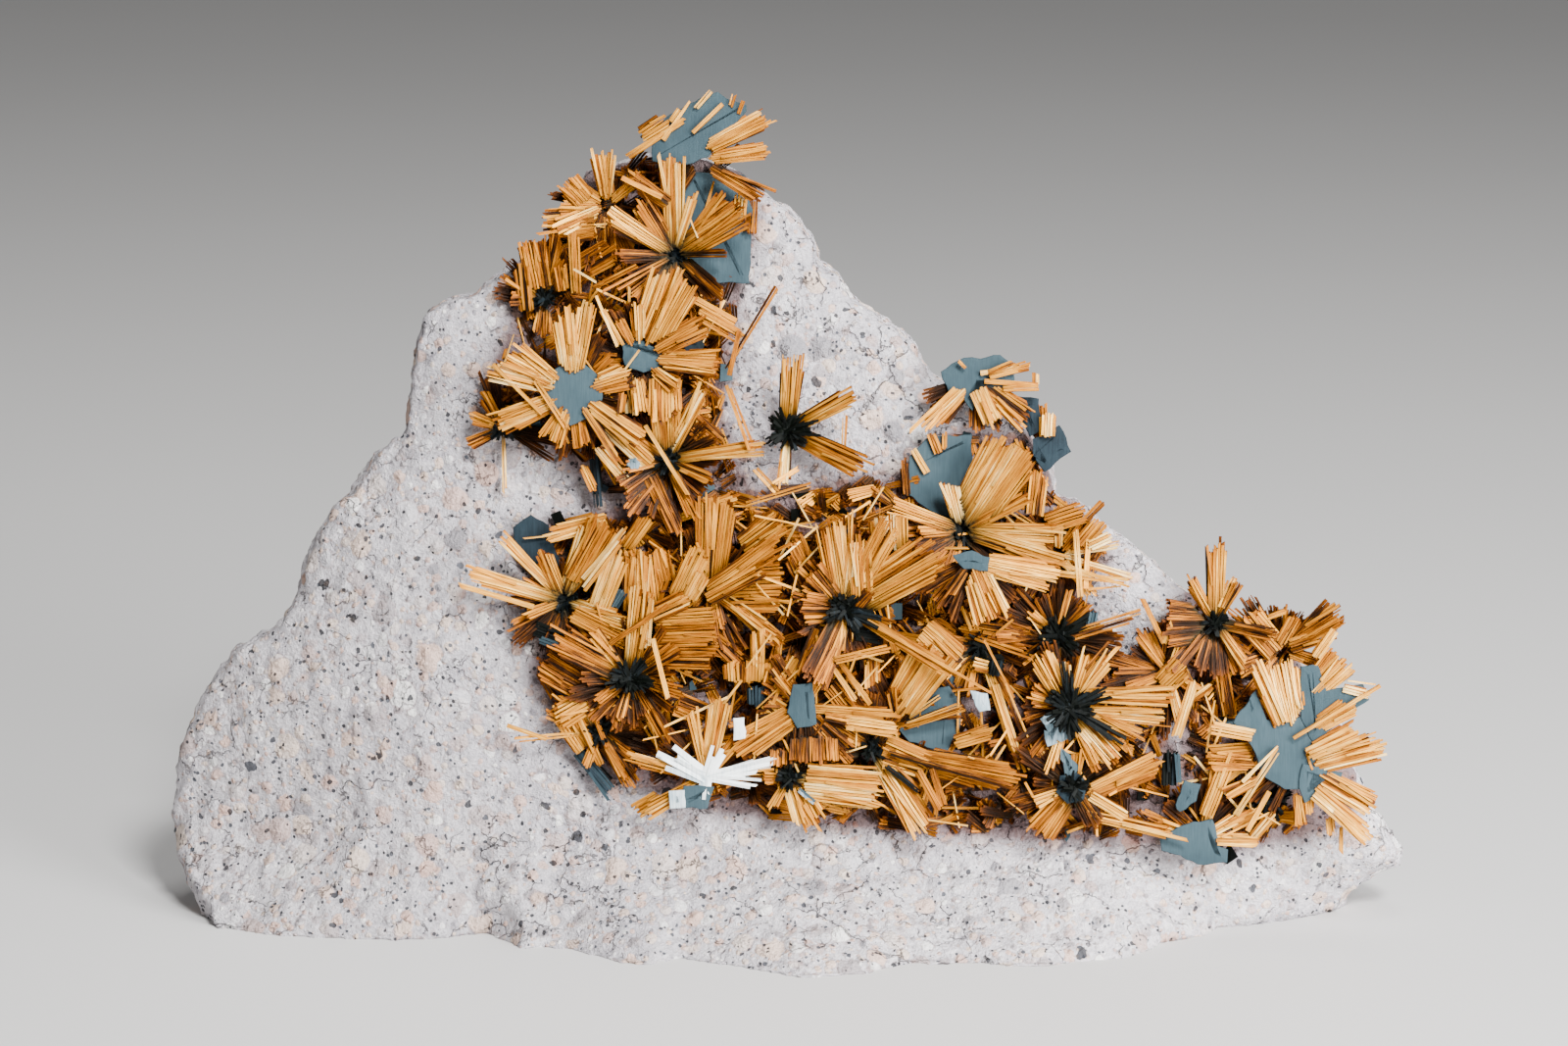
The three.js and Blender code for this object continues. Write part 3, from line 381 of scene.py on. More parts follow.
# Combs of laths beside and across the arms: each end (across, up, out), width and shade.
COMBS = {
    "01_crown": [
        (-14.8, 80.6, 4, -12, 82.4, 4.4, 2, 0.66), (-9.3, 83.4, 4.4, -7.4, 85.4, 4.5, 0.6, 0.68),
        (-5.7, 83.6, 4.4, -5.3, 85.1, 4.5, 0.6, 0.68), (-4.9, 82.9, 4.4, -4.3, 84.5, 4.5, 0.5, 0.68),
        (-11.9, 82, 4.4, -10.8, 83.5, 4.5, 0.5, 0.66), (-7.8, 79.2, 4.7, -0.9, 82.4, 5, 0.9, 0.6)],
    "02_summit": [
        (-11.9, 73.8, 5.4, -16.2, 77, 4.6, 1.6, 0.6), (-4.8, 72.5, 3.4, -4.6, 75.2, 3.8, 1.4, 0.6),
        (-8.3, 73, 2.6, -7.2, 77, 2.6, 0.5, 0.62), (-22.5, 70.5, 2.2, -18.8, 71, 2.8, 1.2, 0.34),
        (-21.3, 67.3, 1.6, -17.2, 69.6, 2.4, 3, 0.27), (-13.4, 70.8, 3.4, -15.3, 73.9, 3.8, 1.4, 0.78)],
    "03_shoulder": [
        (-20.3, 74.2, 2.8, -22.4, 76.5, 3, 2.6, 0.5), (-19.5, 72.5, 2.6, -25.3, 72, 2.6, 3, 0.56)],
    "05_left_comb": [
        (-26.3, 63, 2.2, -27, 68.5, 2.6, 1.6, 0.42), (-25, 65.3, 2.4, -26, 71, 2.8, 2.8, 0.42),
        (-21.3, 64.8, 3.4, -21.5, 71.3, 4.6, 1.2, 0.5), (-22.6, 65, 3, -23, 68, 3.4, 1.4, 0.46),
        (-19.8, 65.3, 3.6, -14.3, 68, 4, 0.6, 0.4), (-21.6, 67.3, 5, -19, 65.8, 5, 0.3, PALE)],
    "06_sheet": [
        (-12.4, 56.6, 4.8, -12.3, 51.8, 5.2, 3.4, 0.6), (-15.2, 56.2, 5, -14.6, 52.4, 5.2, 1.6, 0.76),
        (-11, 58, 4.6, -7.3, 58.4, 4.8, 1.8, 0.48), (-17, 59.2, 5.4, -19.6, 64.8, 5.2, 0.35, PALE),
        (-16.6, 59.4, 5.2, -18.8, 63.6, 5, 0.8, STRAW)],
    "09_under_wheel": [
        (-15.5, 52.5, 3.6, -15.8, 57, 4, 1.8, 0.8), (-13.8, 47.5, 3.9, -19.8, 53.2, 4.2, 2, 0.74),
        (-14.5, 43.8, 3, -19.8, 50, 3.4, 1.2, PALE), (-6.8, 49.5, 2.4, -9.8, 52, 3, 2.4, 0.32),
        (-13.9, 46.5, 3.2, -10.7, 39.8, 3.8, 1.8, 0.28), (-11.3, 42, 3, -4.3, 44.5, 3.6, 1, 0.6),
        (-4.3, 43.5, 3.6, 3.5, 46, 4.4, 0.7, GOLD), (-3.3, 47.2, 3.6, -0.6, 44.4, 3.8, 0.8, STRAW),
        (-20.8, 47.5, 2.4, -19.3, 44.5, 2.6, 0.9, STRAW), (-5.8, 55.5, 3.8, -3.5, 49.5, 3.8, 0.35, GOLD)],
    "12_right_crest": [
        (20.2, 56.8, 3.2, 23.1, 58, 3.4, 0.6, 0.66), (20.4, 56.3, 3.2, 23.6, 57.2, 3.4, 0.5, STRAW),
        (19.2, 55.3, 3.2, 21, 51.2, 3.4, 2, 0.6), (25.2, 55.4, 2.8, 25.2, 57, 2.8, 0.8, PALE),
        (21.7, 55.2, 3.2, 25.8, 55.4, 3.2, 0.7, 0.5), (18.2, 57.2, 3.2, 17.2, 58.2, 3.2, 0.5, 0.62)],
    "13_right_notch": [(26.5, 50.3, 1.8, 26.6, 53, 1.8, 1.6, PALE)],
    "14_great_fan": [
        (12.7, 49.3, 2.3, 14.4, 46.3, 2.4, 0.8, 0.66), (14.5, 50.8, 2.3, 15.5, 48.3, 2.4, 0.9, 0.66),
        (16, 51, 2.3, 15.9, 48.6, 2.4, 0.6, 0.6), (12.2, 44.3, 2.4, 11.9, 48.5, 2.2, 0.9, 0.16),
        (25, 42.3, 4, 25.6, 47.3, 4.2, 2, 0.48)],
    "16_right_splinters": [
        (26.2, 41.5, 2.4, 30.7, 43, 2.8, 2.2, 0.42), (30.2, 42, 2.8, 32.2, 44, 3, 0.8, 0.42),
        (29.7, 39.3, 2.8, 32, 42.2, 3, 1.6, 0.5), (30.4, 39.2, 3, 33.2, 40.5, 3, 1.2, PALE),
        (30.2, 34.9, 3, 34, 35.3, 3, 0.4, STRAW)],
    "17_heart": [
        (2.3, 36.8, 3, 0.5, 40.5, 4.2, 2, 0.28), (1.9, 34.8, 2.6, 0.1, 38.8, 3.6, 1.4, 0.24),
        (7.7, 33.5, 5, 7.3, 41, 6.2, 2.4, PALE), (10.5, 38.8, 4.4, 10.2, 43, 5.4, 4, PALE),
        (6.5, 32.5, 5.2, 8.7, 35, 5.8, 1.2, 0.15), (3.7, 31, 4.2, 1.7, 25.7, 4.6, 2.6, 0.36),
        (4.7, 30, 4.4, 3.4, 24.5, 4.8, 1.6, 0.36), (-1.5, 28, 3.6, -1.9, 25, 3.6, 1.4, 0.5),
        (1.2, 28, 4.2, -1.6, 23.3, 4, 1.6, 0.62), (8.5, 28, 4, 8.5, 24.7, 3.8, 1.7, 0.6),
        (6, 26.5, 4.6, 7.6, 24.6, 4.6, 0.8, STRAW), (13.7, 31, 4.4, 17.7, 27.5, 4.4, 3, 0.55)],
    "19_middle_fan": [
        (-11, 34, 3.2, -8.5, 39.4, 4.6, 2.4, 0.66), (-9.9, 33.8, 3.6, -8.1, 37, 4.4, 1.6, 0.74),
        (-12.1, 35.5, 2.4, -12.9, 39.4, 2.8, 1.8, 0.5), (-16.3, 39, 2.6, -13.9, 42.5, 3.6, 1.6, 0.46),
        (-4.6, 39, 2.6, -0.3, 42.2, 3.6, 3, 0.56), (-8.1, 34.8, 4, -0.3, 40.4, 5.4, 1.6, 0.48),
        (-8.1, 33.8, 4.4, -1.7, 37.2, 5, 1.6, 0.5), (-6.1, 35, 2.8, 0.3, 35.3, 3.8, 5.5, 0.5),
        (-5.1, 33.2, 3, -0.3, 29, 3.4, 1.8, 0.6)],
    "20_spear": [
        (-18.1, 42, 3, -24.8, 40.3, 3.4, 1.8, 0.65), (-21.8, 35.8, 3.6, -18.3, 42.2, 5, 2.2, 0.44),
        (-20.1, 35.8, 3.4, -16.3, 41.5, 4.8, 1.6, 0.45), (-20.6, 34.9, 4.2, -16.3, 40.3, 5.6, 0.8, PALE),
        (-19.1, 32.8, 3.8, -16.7, 39, 4.8, 2.4, 0.8), (-21.8, 32.6, 3.6, -13.9, 28.6, 4.4, 2, 0.58)],
    "21_lower_left": [
        (-20.3, 25.2, 3.2, -25.3, 28.2, 3.8, 4, 0.3), (-16.1, 26, 4, -20.8, 28.2, 4.6, 2.4, 0.6),
        (-17.1, 28.2, 5, -20.5, 30.2, 5.2, 0.6, ORANGE)],
    "22_brown_comb": [
        (-15.3, 32.5, 3.2, -15.1, 39, 4, 2.8, 0.7), (-14.8, 29, 4.2, -14.3, 35.5, 4.8, 2.2, 0.74),
        (-13.5, 29.8, 3.4, -6.5, 30, 4.4, 6.5, 0.38), (-13.9, 32.2, 3.8, -9.7, 34.2, 4.4, 2, 0.6),
        (-8.1, 30.5, 2.6, -4.3, 27, 3, 2, 0.34)],
    "23_foot_left": [
        (-17.8, 25, 3, -23.8, 21.5, 3.6, 2.6, STRAW), (-18.8, 17, 2.4, -22.3, 24.5, 3.2, 0.9, GOLD),
        (-20.5, 18.6, 2.4, -23.1, 22.5, 3, 2, 0.66), (-17.3, 21, 2.8, -16.9, 24.8, 3.2, 1, 0.6)],
    "24_white_plates": [
        (-16.3, 21.6, 1.6, -12.1, 22.5, 2, 0.8, 0.4), (-8.1, 22.2, 3.4, -11.5, 23.5, 3.8, 2.6, 0.32),
        (-12.8, 14, 3.4, -15.5, 12.3, 3.2, 1.8, 0.66)],
    "25_blue_cube": [
        (-2.9, 27, 3.6, -2.9, 31.4, 4.2, 1.4, STRAW), (-4, 25.4, 3.4, -4, 28, 3.8, 5, 0.56),
        (-2.3, 23.5, 4, -0.3, 22, 4.6, 2.6, 0.55), (-2.3, 20.5, 4, 0.8, 21, 4.8, 1.6, 0.62),
        (4.4, 25.5, 4.6, 7.4, 21.9, 4.6, 2.6, 0.4), (5.7, 21.6, 5.4, 11.7, 20.6, 5.4, 1.6, 0.62),
        (3.7, 22.2, 5.4, 6.7, 21.6, 5.4, 1, 0.56), (2.7, 20.3, 5.6, 2.7, 17.3, 6.2, 5.2, 0.26),
        (-0.5, 19, 5, -0.5, 16.9, 5.4, 2.6, 0.22)],
    "26_foot_middle": [
        (1.7, 15.6, 5.8, 10, 14.8, 6, 4, STRAW), (0.2, 15, 5.4, 1.4, 11, 5.4, 1.4, STRAW),
        (1.4, 15.4, 5.4, 3.6, 11.5, 5.4, 1.4, STRAW)],
    "27_foot_fan": [
        (9.7, 19.3, 4.2, 15, 17, 4.2, 2.4, 0.6), (9.7, 18, 4, 14, 16.6, 4, 2.6, 0.6),
        (14.4, 17.8, 4, 23.7, 15.3, 4, 2.6, 0.45), (14.4, 17, 3.8, 19.4, 15.6, 3.8, 2.4, 0.34)],
    "28_grey_plate": [
        (12.2, 21.8, 1.5, 16, 24.3, 1.5, 0.6, 0.6), (14.9, 21.7, 1.5, 18, 22, 1.5, 0.4, 0.6),
        (16.9, 19.3, 2.4, 21.4, 20.7, 2.6, 1.6, 0.5), (16.5, 24.6, 2, 20.5, 25, 2, 0.3, 0.5)],
    "29_gap_blades": [(20.6, 27, 2.2, 18.8, 27.5, 2.2, 1.4, 0.66)],
    "32_black_cross": [
        (29.9, 26.8, 4.8, 33, 30.3, 4.6, 0.5, GOLD), (31.7, 27.3, 4.8, 33.5, 29.3, 4.6, 0.5, PALE)],
    "33_foot_right": [(30.4, 14.3, 5, 34.7, 11.7, 5, 1.2, 0.6)],
    "34_tower": [
        (44, 33, 2.6, 45.5, 36.3, 2.8, 1, 0.74), (45, 22, 1.8, 44, 27, 2.2, 1.6, 0.2),
        (41, 23.7, 2.6, 43.4, 25.5, 2.8, 0.8, 0.66)],
    "35_edge_comb": [
        (50, 28.5, 1.6, 46.5, 32.5, 2, 3, 0.5), (50, 29.3, 1.8, 51.7, 32.3, 2, 1.2, 0.5),
        (48.7, 32, 1.6, 51, 32.9, 1.6, 0.6, 0.5), (51, 29, 1.6, 56, 30.8, 1.8, 1.6, 0.4)],
    "36_great_plate": [
        (49.9, 21.2, 5.2, 46.9, 28.2, 5.8, 1.6, 0.8), (53.2, 28, 5, 55.5, 31.2, 5, 1, STRAW),
        (56.2, 25.8, 5, 59.6, 25.4, 5, 0.25, 0.66), (56, 25, 5, 59.2, 24.2, 5, 0.9, PALE),
        (52.4, 18.2, 5.4, 57.7, 20.7, 5.6, 1.4, STRAW), (53, 14.7, 5.2, 59.2, 9.5, 5.2, 1.8, 0.74),
        (52.4, 14.7, 4.6, 52.6, 12, 4.4, 1.2, 0.64), (54.8, 12, 4, 55, 10, 3.8, 0.9, 0.68),
        (56, 11.2, 4, 56, 7.8, 3.6, 0.5, 0.68), (47.4, 18.5, 3.6, 41.7, 18, 3.4, 2.4, 0.42),
        (45.2, 12, 4, 49.7, 19.2, 5.2, 0.8, 0.66), (44.2, 15.5, 4.4, 46.4, 17.3, 4.6, 0.7, PALE)],
    "37_corner": [
        (42.2, 12, 5, 45, 19, 5, 1.6, 0.66), (47.2, 9.7, 3.4, 49.6, 12.6, 3.6, 1, 0.74),
        (43.2, 9.5, 4.8, 47.9, 9.3, 4.4, 0.8, 0.76), (44.7, 11, 4, 47.9, 12.5, 3.8, 1.6, 0.5)],
    "39_small_disc": [(38, 25, 2.2, 40.4, 27.4, 2.6, 2.6, 0.56)],
}

# Hematite blades among the laths, given in the same way.
DARK_COMBS = {
    "09_under_wheel": [(-19.8, 49.5, 1.8, -19.1, 42.5, 1.8, 1, TEAL)],
    "17_heart": [(6.8, 31, 4.2, 10, 30.6, 4.2, 2.6, BLACK), (11.9, 39.4, 4.8, 12.9, 39.9, 4.8, 0.6, TEAL)],
    "20_spear": [
        (-25.8, 31, 2.6, -19.1, 28.5, 3, 1.6, BLACK), (-25.2, 29.9, 3, -21.6, 28.6, 3.2, 0.9, BLUE)],
    "22_brown_comb": [(-17.6, 33, 3.6, -16.4, 35, 3.8, 1.2, BLUE)],
    "23_foot_left": [(-21.3, 18.5, 1.6, -17.5, 14, 1.2, 1.4, 0.45)],
    "25_blue_cube": [(-2.8, 23, 3.4, -2.8, 25.5, 3.6, 2.4, TEAL)],
    "26_foot_middle": [(1, 15, 5.8, 3, 13.4, 5.6, 0.6, BLUE)],
    "27_foot_fan": [(9.9, 17.2, 4.6, 13.7, 14.3, 4.6, 0.6, TEAL)],
    "29_gap_blades": [
        (20.3, 27.2, 2.2, 22.4, 27.4, 2.4, 1.8, BLACK), (21, 26, 2.2, 21.4, 28.2, 2.6, 1.2, BLACK)],
    "31_pyramid": [(30.8, 31, 2.6, 31.2, 33, 2.6, 1, BLUE)],
    "37_corner": [
        (38.7, 15, 3.8, 38.9, 19.3, 4, 1.6, BLACK), (39.6, 15.4, 4.1, 39.3, 19.2, 4.3, 0.6, BLUE)],
}


# The bands of the face that crystals cover, as outlines (across, up).
BANDS = [
    [(-21, 77.5), (-16, 80), (-4, 80.5), (-3, 73), (-4.5, 66), (-6, 58), (-6.5, 52), (-4, 45.5), (-10, 43.5),
     (-19, 45), (-23.5, 49), (-30.5, 52.5), (-30, 57), (-28, 62), (-27.5, 68), (-24, 72.5)],
    [(-27, 40.5), (-20, 42.5), (-10, 45), (-1, 45), (8.5, 46.5), (11, 46), (17, 51), (25.5, 50.5), (28, 45),
     (31, 42), (33, 38), (29.5, 35), (31.5, 30), (34, 26), (37.5, 24), (40, 17), (37.5, 9), (26, 9.5),
     (14, 10), (4, 11), (-8, 12.5), (-17, 16), (-22, 20), (-25.5, 26), (-26, 35)],
    [(38.5, 30), (42, 37), (45.5, 34), (54, 31), (59, 24), (59.5, 14), (57, 10.5), (44, 8), (37.5, 9.5),
     (40, 17), (40.5, 24)],
]

# The felt of small crystals in the bands: its spacing, how far the stone may fall back
# below a star, the shades, dark partly as the crystals' own brown and partly as painted
# shade between the stars, and a distance out from the face that is clear of the stone.
MAT_PITCH = 1.7
MAT_DEPTH = 6
MAT_TONES_AND_SHADE = (0.02, 0.08, 0.14, 0.22, 0.32, 0.44)
WELL_CLEAR = 40

# The painted shade of the bands on the stone: how far back and how far outside them it
# reaches, and how dark it starts there.
SHADE_BACK = -4
SHADE_REACH = 3.0
SHADE_EDGE = 0.8

# Laths: the corner of a square of side 1, and the share of laths that are pointed and
# how thin they end.
CORNER = 0.7071
POINTED_SHARE = 0.14
POINTED = 0.45

# Laths in a comb: the widths from which it has more layers, how far a lower layer drops
# and how much darker it is painted, as painted shade below the layer above, how much
# shades differ, and the share of much darker laths.
LAYERED = (0.9, 2.4)
LAYER_DROP = 0.28
LAYER_PAINTED_SHADE = 0.26
LATH_TONE = 0.07
DARK_SHARE = 0.11
DARK_BY = 0.34

# Shades of the short rays below a star.
FILL_TONES = (ORANGE, ORANGE, GOLD, BROWN)

# Hematite plates: length of a chip of the rim and how far chips stand out, how far in
# the first growth step is and each next one from it, and its height, with the bevel of
# the rim. Blades side by side in an arm of a rosette.
CHIP = 0.7
CHIP_OUT = (-0.12, -0.04, 0.0, 0.05)
STEP_IN = 0.3
STEP_MORE = 0.25
STEP_HEIGHT = 0.02
RIM_BEVEL = 0.05
ARM_BLADES = 7

# Heights above the cut, in metres: where the relief fades, how high the cut's rim is
# pressed flat, and the least thickness of the apron's edge.
FOOT_CALM = 0.002
FOOT_FLAT = 0.0006
FOOT_EDGE = 0.00018


def plane_depth(star, u, v):
    """How far out the star's plane is at one place on the face, in millimetres."""
    tilt = star.get("tilt", (0, 0))
    at = star["at"]
    return at[2] + tilt[0] * (u - at[0]) + tilt[1] * (v - at[1])


def bowl_depth(star, u, v):
    """As plane_depth, for the rays, which rise from the core like a bowl."""
    at = star["at"]
    turn = math.atan2(v - at[1], u - at[0])
    rise = star.get("bowl", 0) + 0.05 * math.sin(2 * turn + at[0])
    return plane_depth(star, u, v) + rise * math.hypot(u - at[0], v - at[1])


# Mesh tools.


def finish_piece(name, bm, materials, node):
    """Makes the object of a finished bmesh, in place of its node of the frame."""
    mesh = bpy.data.meshes.new(name)
    bm.to_mesh(mesh)
    bm.free()
    for material in materials:
        mesh.materials.append(material)
    piece = bpy.data.objects.new(name, mesh)
    bpy.context.scene.collection.objects.link(piece)
    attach(piece, "root")
    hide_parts(node)
    return piece


class Laths:
    """Grows flat laths into one bmesh, each with its shade and its own UV."""

    def __init__(self, rng):
        self.bm = bmesh.new()
        self.uv = self.bm.loops.layers.uv.new("lath")
        self.shade = self.bm.faces.layers.float.new("shade")
        self.end = self.bm.faces.layers.float.new("broken_end")
        self.rooted = self.bm.faces.layers.float.new("rooted")
        self.share = self.bm.verts.layers.float.new("share")
        self.rng = rng

    def lath(self, start, end, width, thick, shade, taper=1.0, material=0, roll=0.08, rooted=0.3):
        """One lath from start to end, both (across, up, out) in millimetres. It is taper
        times as wide at its start, which is dark by its share rooted."""
        rng = self.rng
        a = face_point(*start)
        b = face_point(*end)
        along = b - a
        length = along.length
        along.normalize()
        out = (OUT_FACE - along * OUT_FACE.dot(along)).normalized()
        out.rotate(Matrix.Rotation(rng.gauss(0, roll), 3, along))
        across = out.cross(along)
        middle = (a + b) / 2
        turn = Matrix((across, out, along)).transposed().to_4x4()
        size = Matrix.Diagonal((width * MM * CORNER, thick * MM * CORNER, length, 1))
        place = Matrix.Translation(middle) @ turn @ size @ Matrix.Rotation(math.pi / 4, 4, "Z")
        point = POINTED if rng.random() < POINTED_SHARE else 1.0
        made = bmesh.ops.create_cone(
            self.bm, cap_ends=True, segments=4, radius1=taper, radius2=point, depth=1, matrix=place)
        slant = rng.choice((0, 0, 1, -1)) * rng.uniform(0.2, 1.3)
        faces = set()
        for vert in made["verts"]:
            if (vert.co - middle).dot(along) > 0:
                vert.co += along * (vert.co - middle).dot(across) * slant
                vert[self.share] = 1.0
            faces.update(vert.link_faces)
        drift = rng.uniform(0, 60)
        for face in faces:
            face.normal_update()
            face.material_index = material
            face[self.shade] = min(1, max(0, shade))
            face[self.rooted] = rooted
            face[self.end] = 1.0 if abs(face.normal.dot(along)) > 0.55 else 0.0
            for loop in face.loops:
                from_start = loop.vert.co - a
                loop[self.uv].uv = (from_start.dot(across) / MM + drift, from_start.dot(along) / MM + drift)


def grow_comb(laths, start, end, width, shade, sizes, narrow=0.9, flare=0.1, rooted=0.3, material=0,
              most=3):
    """A comb of touching laths between two places (across, up, out), in one to most
    layers and in bundles that end together. It is narrow times as wide at its start,
    where its sides begin later by the share flare."""
    rng = laths.rng
    start, end = Vector(start), Vector(end)
    run = end - start
    length = math.hypot(run.x, run.y)
    side_way = Vector((-run.y, run.x, 0)) / length
    pitch = sizes.lath_width / MM
    count = max(1, round(width / pitch))
    layers = min(most, 1 + sum(width >= wide for wide in LAYERED))

    def spread(s):
        return narrow + (1 - narrow) * s / length

    def place(s, side, out):
        return start + run * (s / length) + side_way * side * spread(s) + Vector((0, 0, out))

    for layer in range(layers):
        bundle = 0
        for k in range(count):
            if bundle == 0:
                bundle = rng.randint(1, 4)
                step = rng.uniform(-0.16, 0.16)
                stop = rng.uniform(0.84, 1.0)
                tone = rng.gauss(0, LATH_TONE)
                swing = rng.gauss(0, 0.012)
            bundle -= 1
            darker = DARK_BY if rng.random() < DARK_SHARE else 0.0
            side = ((k + 0.5 + 0.5 * (layer % 2)) / count - 0.5) * width
            s0 = abs(side) * flare + rng.uniform(0, 0.3)
            s1 = length * (stop - rng.uniform(0, 0.08)) * (1 - 0.08 * (2 * side / width) ** 2)
            if layer:
                s1 *= rng.uniform(0.82, 1.0)
            if s1 < s0 + 0.4:
                continue
            out = step - LAYER_DROP * layer + rng.uniform(-0.07, 0.07)
            wide = width / count * rng.uniform(0.66, 0.95) * spread(s1)
            # Each lower layer is painted darker: painted shade in the gaps between the laths above.
            laths.lath(
                place(s0, side, out), place(s1, side + swing * s1, out + rng.uniform(-0.1, 0.1)), wide,
                sizes.lath_thick / MM * rng.uniform(0.8, 1.2),
                shade + tone + rng.gauss(0, LATH_TONE) - LAYER_PAINTED_SHADE * layer - darker,
                taper=spread(s0) / spread(s1), material=material, rooted=rooted)
    if width > 1.2 and length > 3 and most > 1:
        for _ in range(round(width / 1.6)):
            s0 = rng.uniform(0.2, 0.5) * length
            s1 = length * rng.uniform(0.8, 1.02)
            side = rng.uniform(-0.35, 0.35) * width
            stray = side + math.tan(math.radians(rng.uniform(-8, 8))) * (s1 - s0)
            laths.lath(
                place(s0, side, 0.3), place(s1, stray, 0.3 + rng.uniform(-0.1, 0.4)),
                pitch * rng.uniform(0.5, 1.0), 0.22, shade + rng.uniform(-0.12, 0.12), material=material)


def grow_ray(laths, star, ray, sizes, below=0.0):
    """One arm of a star, which leaves the core and rises with the bowl."""
    degrees, length, width, shade = ray[:4]
    from_core = len(ray) < 5
    from_u, from_v = star["at"][:2] if from_core else ray[4:6]
    angle = math.radians(degrees)
    raised = star.get("lifted", 0) - below
    ends = []
    for s in (star.get("core", 0.5) if from_core else 0, length):
        u, v = from_u + math.cos(angle) * s, from_v + math.sin(angle) * s
        ends.append((u, v, bowl_depth(star, u, v) + raised))
    # An arm that lies below another is painted 0.2 darker: painted shade.
    grow_comb(laths, *ends, width, shade - 0.2 * (below > 0), sizes, narrow=0.62, flare=0.75,
              rooted=1.0 if from_core and "black" in star else 0.3)


def grow_needles(laths, star, sizes):
    """The laths and narrow combs that cross a star."""
    for u0, v0, u1, v1, width, shade, lift in star.get("needles", []):
        start = (u0, v0, bowl_depth(star, u0, v0) + lift)
        end = (u1, v1, bowl_depth(star, u1, v1) + lift)
        if width < 0.6:
            laths.lath(start, end, width, min(0.35, width), shade)
        else:
            grow_comb(laths, start, end, width, shade, sizes, most=1)


def inside(u, v, corners):
    """Whether a place on the face is inside an outline."""
    found = False
    for k, (au, av) in enumerate(corners):
        bu, bv = corners[k - 1]
        if (av > v) != (bv > v) and u < (bu - au) * (v - av) / (bv - av) + au:
            found = not found
    return found


def under_plate(u, v):
    """Whether one of the hematite plates covers a place on the face."""
    for star in STARS.values():
        for plate in star.get("plates", []):
            if inside(u, v, plate[2] if isinstance(plate, tuple) else plate):
                return True
    return False


def grow_mat(by_star, tree, sizes):
    """The felt of short crystals that covers the stone below and between the stars, dark with
    its own brown and with painted shade.
    """
    rng = random.Random(sizes.seed + 5)
    for outline in BANDS:
        low_u, high_u = min(p[0] for p in outline), max(p[0] for p in outline)
        low_v, high_v = min(p[1] for p in outline), max(p[1] for p in outline)
        rows = int((high_v - low_v) / MAT_PITCH) + 1
        columns = int((high_u - low_u) / MAT_PITCH) + 1
        for k in range(rows * columns):
            u = low_u + (k % columns + rng.random()) * MAT_PITCH
            v = low_v + (k // columns + rng.random()) * MAT_PITCH
            if not inside(u, v, outline) or under_plate(u, v):
                continue
            hit = tree.ray_cast(face_point(u, v, WELL_CLEAR), -OUT_FACE)
            if hit[0] is None:
                continue
            stone = WELL_CLEAR - hit[3] / MM
            name = min(by_star, key=lambda n: math.hypot(STARS[n]["at"][0] - u, STARS[n]["at"][1] - v))
            if stone < STARS[name]["at"][2] - MAT_DEPTH:
                continue
            grow_tuft(by_star[name], rng, u, v, stone, STARS[name]["at"][2], outline, sizes)


def painted_shade_near_crystals(p):
    """How much painted shade darkens the stone's surface at a place in millimetres: 1 within
    the bands that crystals cover, fading to 0 some way outside them."""
    if p.dot(OUT_FACE) < SHADE_BACK:
        return 0.0
    u, v = p.x, p.dot(UP_FACE)
    gap = SHADE_REACH
    for outline in BANDS:
        if inside(u, v, outline):
            return 1.0
        for k, (au, av) in enumerate(outline):
            bu, bv = outline[k - 1]
            along = ((u - au) * (bu - au) + (v - av) * (bv - av)) / ((bu - au) ** 2 + (bv - av) ** 2)
            along = min(1.0, max(0.0, along))
            gap = min(gap, math.hypot(u - au - along * (bu - au), v - av - along * (bv - av)))
    return (1 - gap / SHADE_REACH) ** 2 * SHADE_EDGE


def grow_tuft(laths, rng, u, v, stone, top, outline, sizes):
    """Two or three short combs on the stone, lower than the star above them, and here
    and there a thin needle or a chip of hematite."""
    first = rng.uniform(0, 60)
    slope = rng.uniform(0.1, 0.55)
    # The tone is dark: partly the small crystals' own brown, partly painted shade between the stars.
    tone = rng.choice(MAT_TONES_AND_SHADE)
    root = stone + rng.uniform(-0.2, 0.25) * max(0.5, top - stone)
    for k in rng.sample(range(6), rng.randint(2, 3)):
        turned = math.radians(first + 60 * k)
        reach = rng.uniform(2.0, 4.4)
        end = (u + math.cos(turned) * reach, v + math.sin(turned) * reach)
        if not inside(*end, outline):
            continue
        high = min(root + slope * reach, max(root, top - 1.0))
        grow_comb(
            laths, (u, v, root), (*end, high), rng.uniform(0.8, 1.7), tone + rng.gauss(0, 0.05), sizes,
            narrow=0.6, rooted=0.5, most=1)
    if rng.random() < 0.3:
        turned = rng.uniform(0, 6.3)
        reach = rng.uniform(3.0, 7.5)
        end = (u + math.cos(turned) * reach, v + math.sin(turned) * reach)
        if inside(*end, outline):
            laths.lath(
                (u, v, top - 0.9), (*end, top + rng.uniform(-0.6, 0.5)), rng.uniform(0.14, 0.26), 0.18,
                rng.uniform(0.5, 0.9))
    if rng.random() < 0.16:
        turned = rng.uniform(0, 6.3)
        size = rng.uniform(0.8, 1.8)
        end = (u + size * math.cos(turned), v + size * math.sin(turned))
        laths.lath(
            (u, v, root + 0.2), (*end, root + 0.6), size * 0.8, 0.2, rng.choice((BLACK, BLACK, TEAL, BLUE)),
            material=1, roll=0.5)


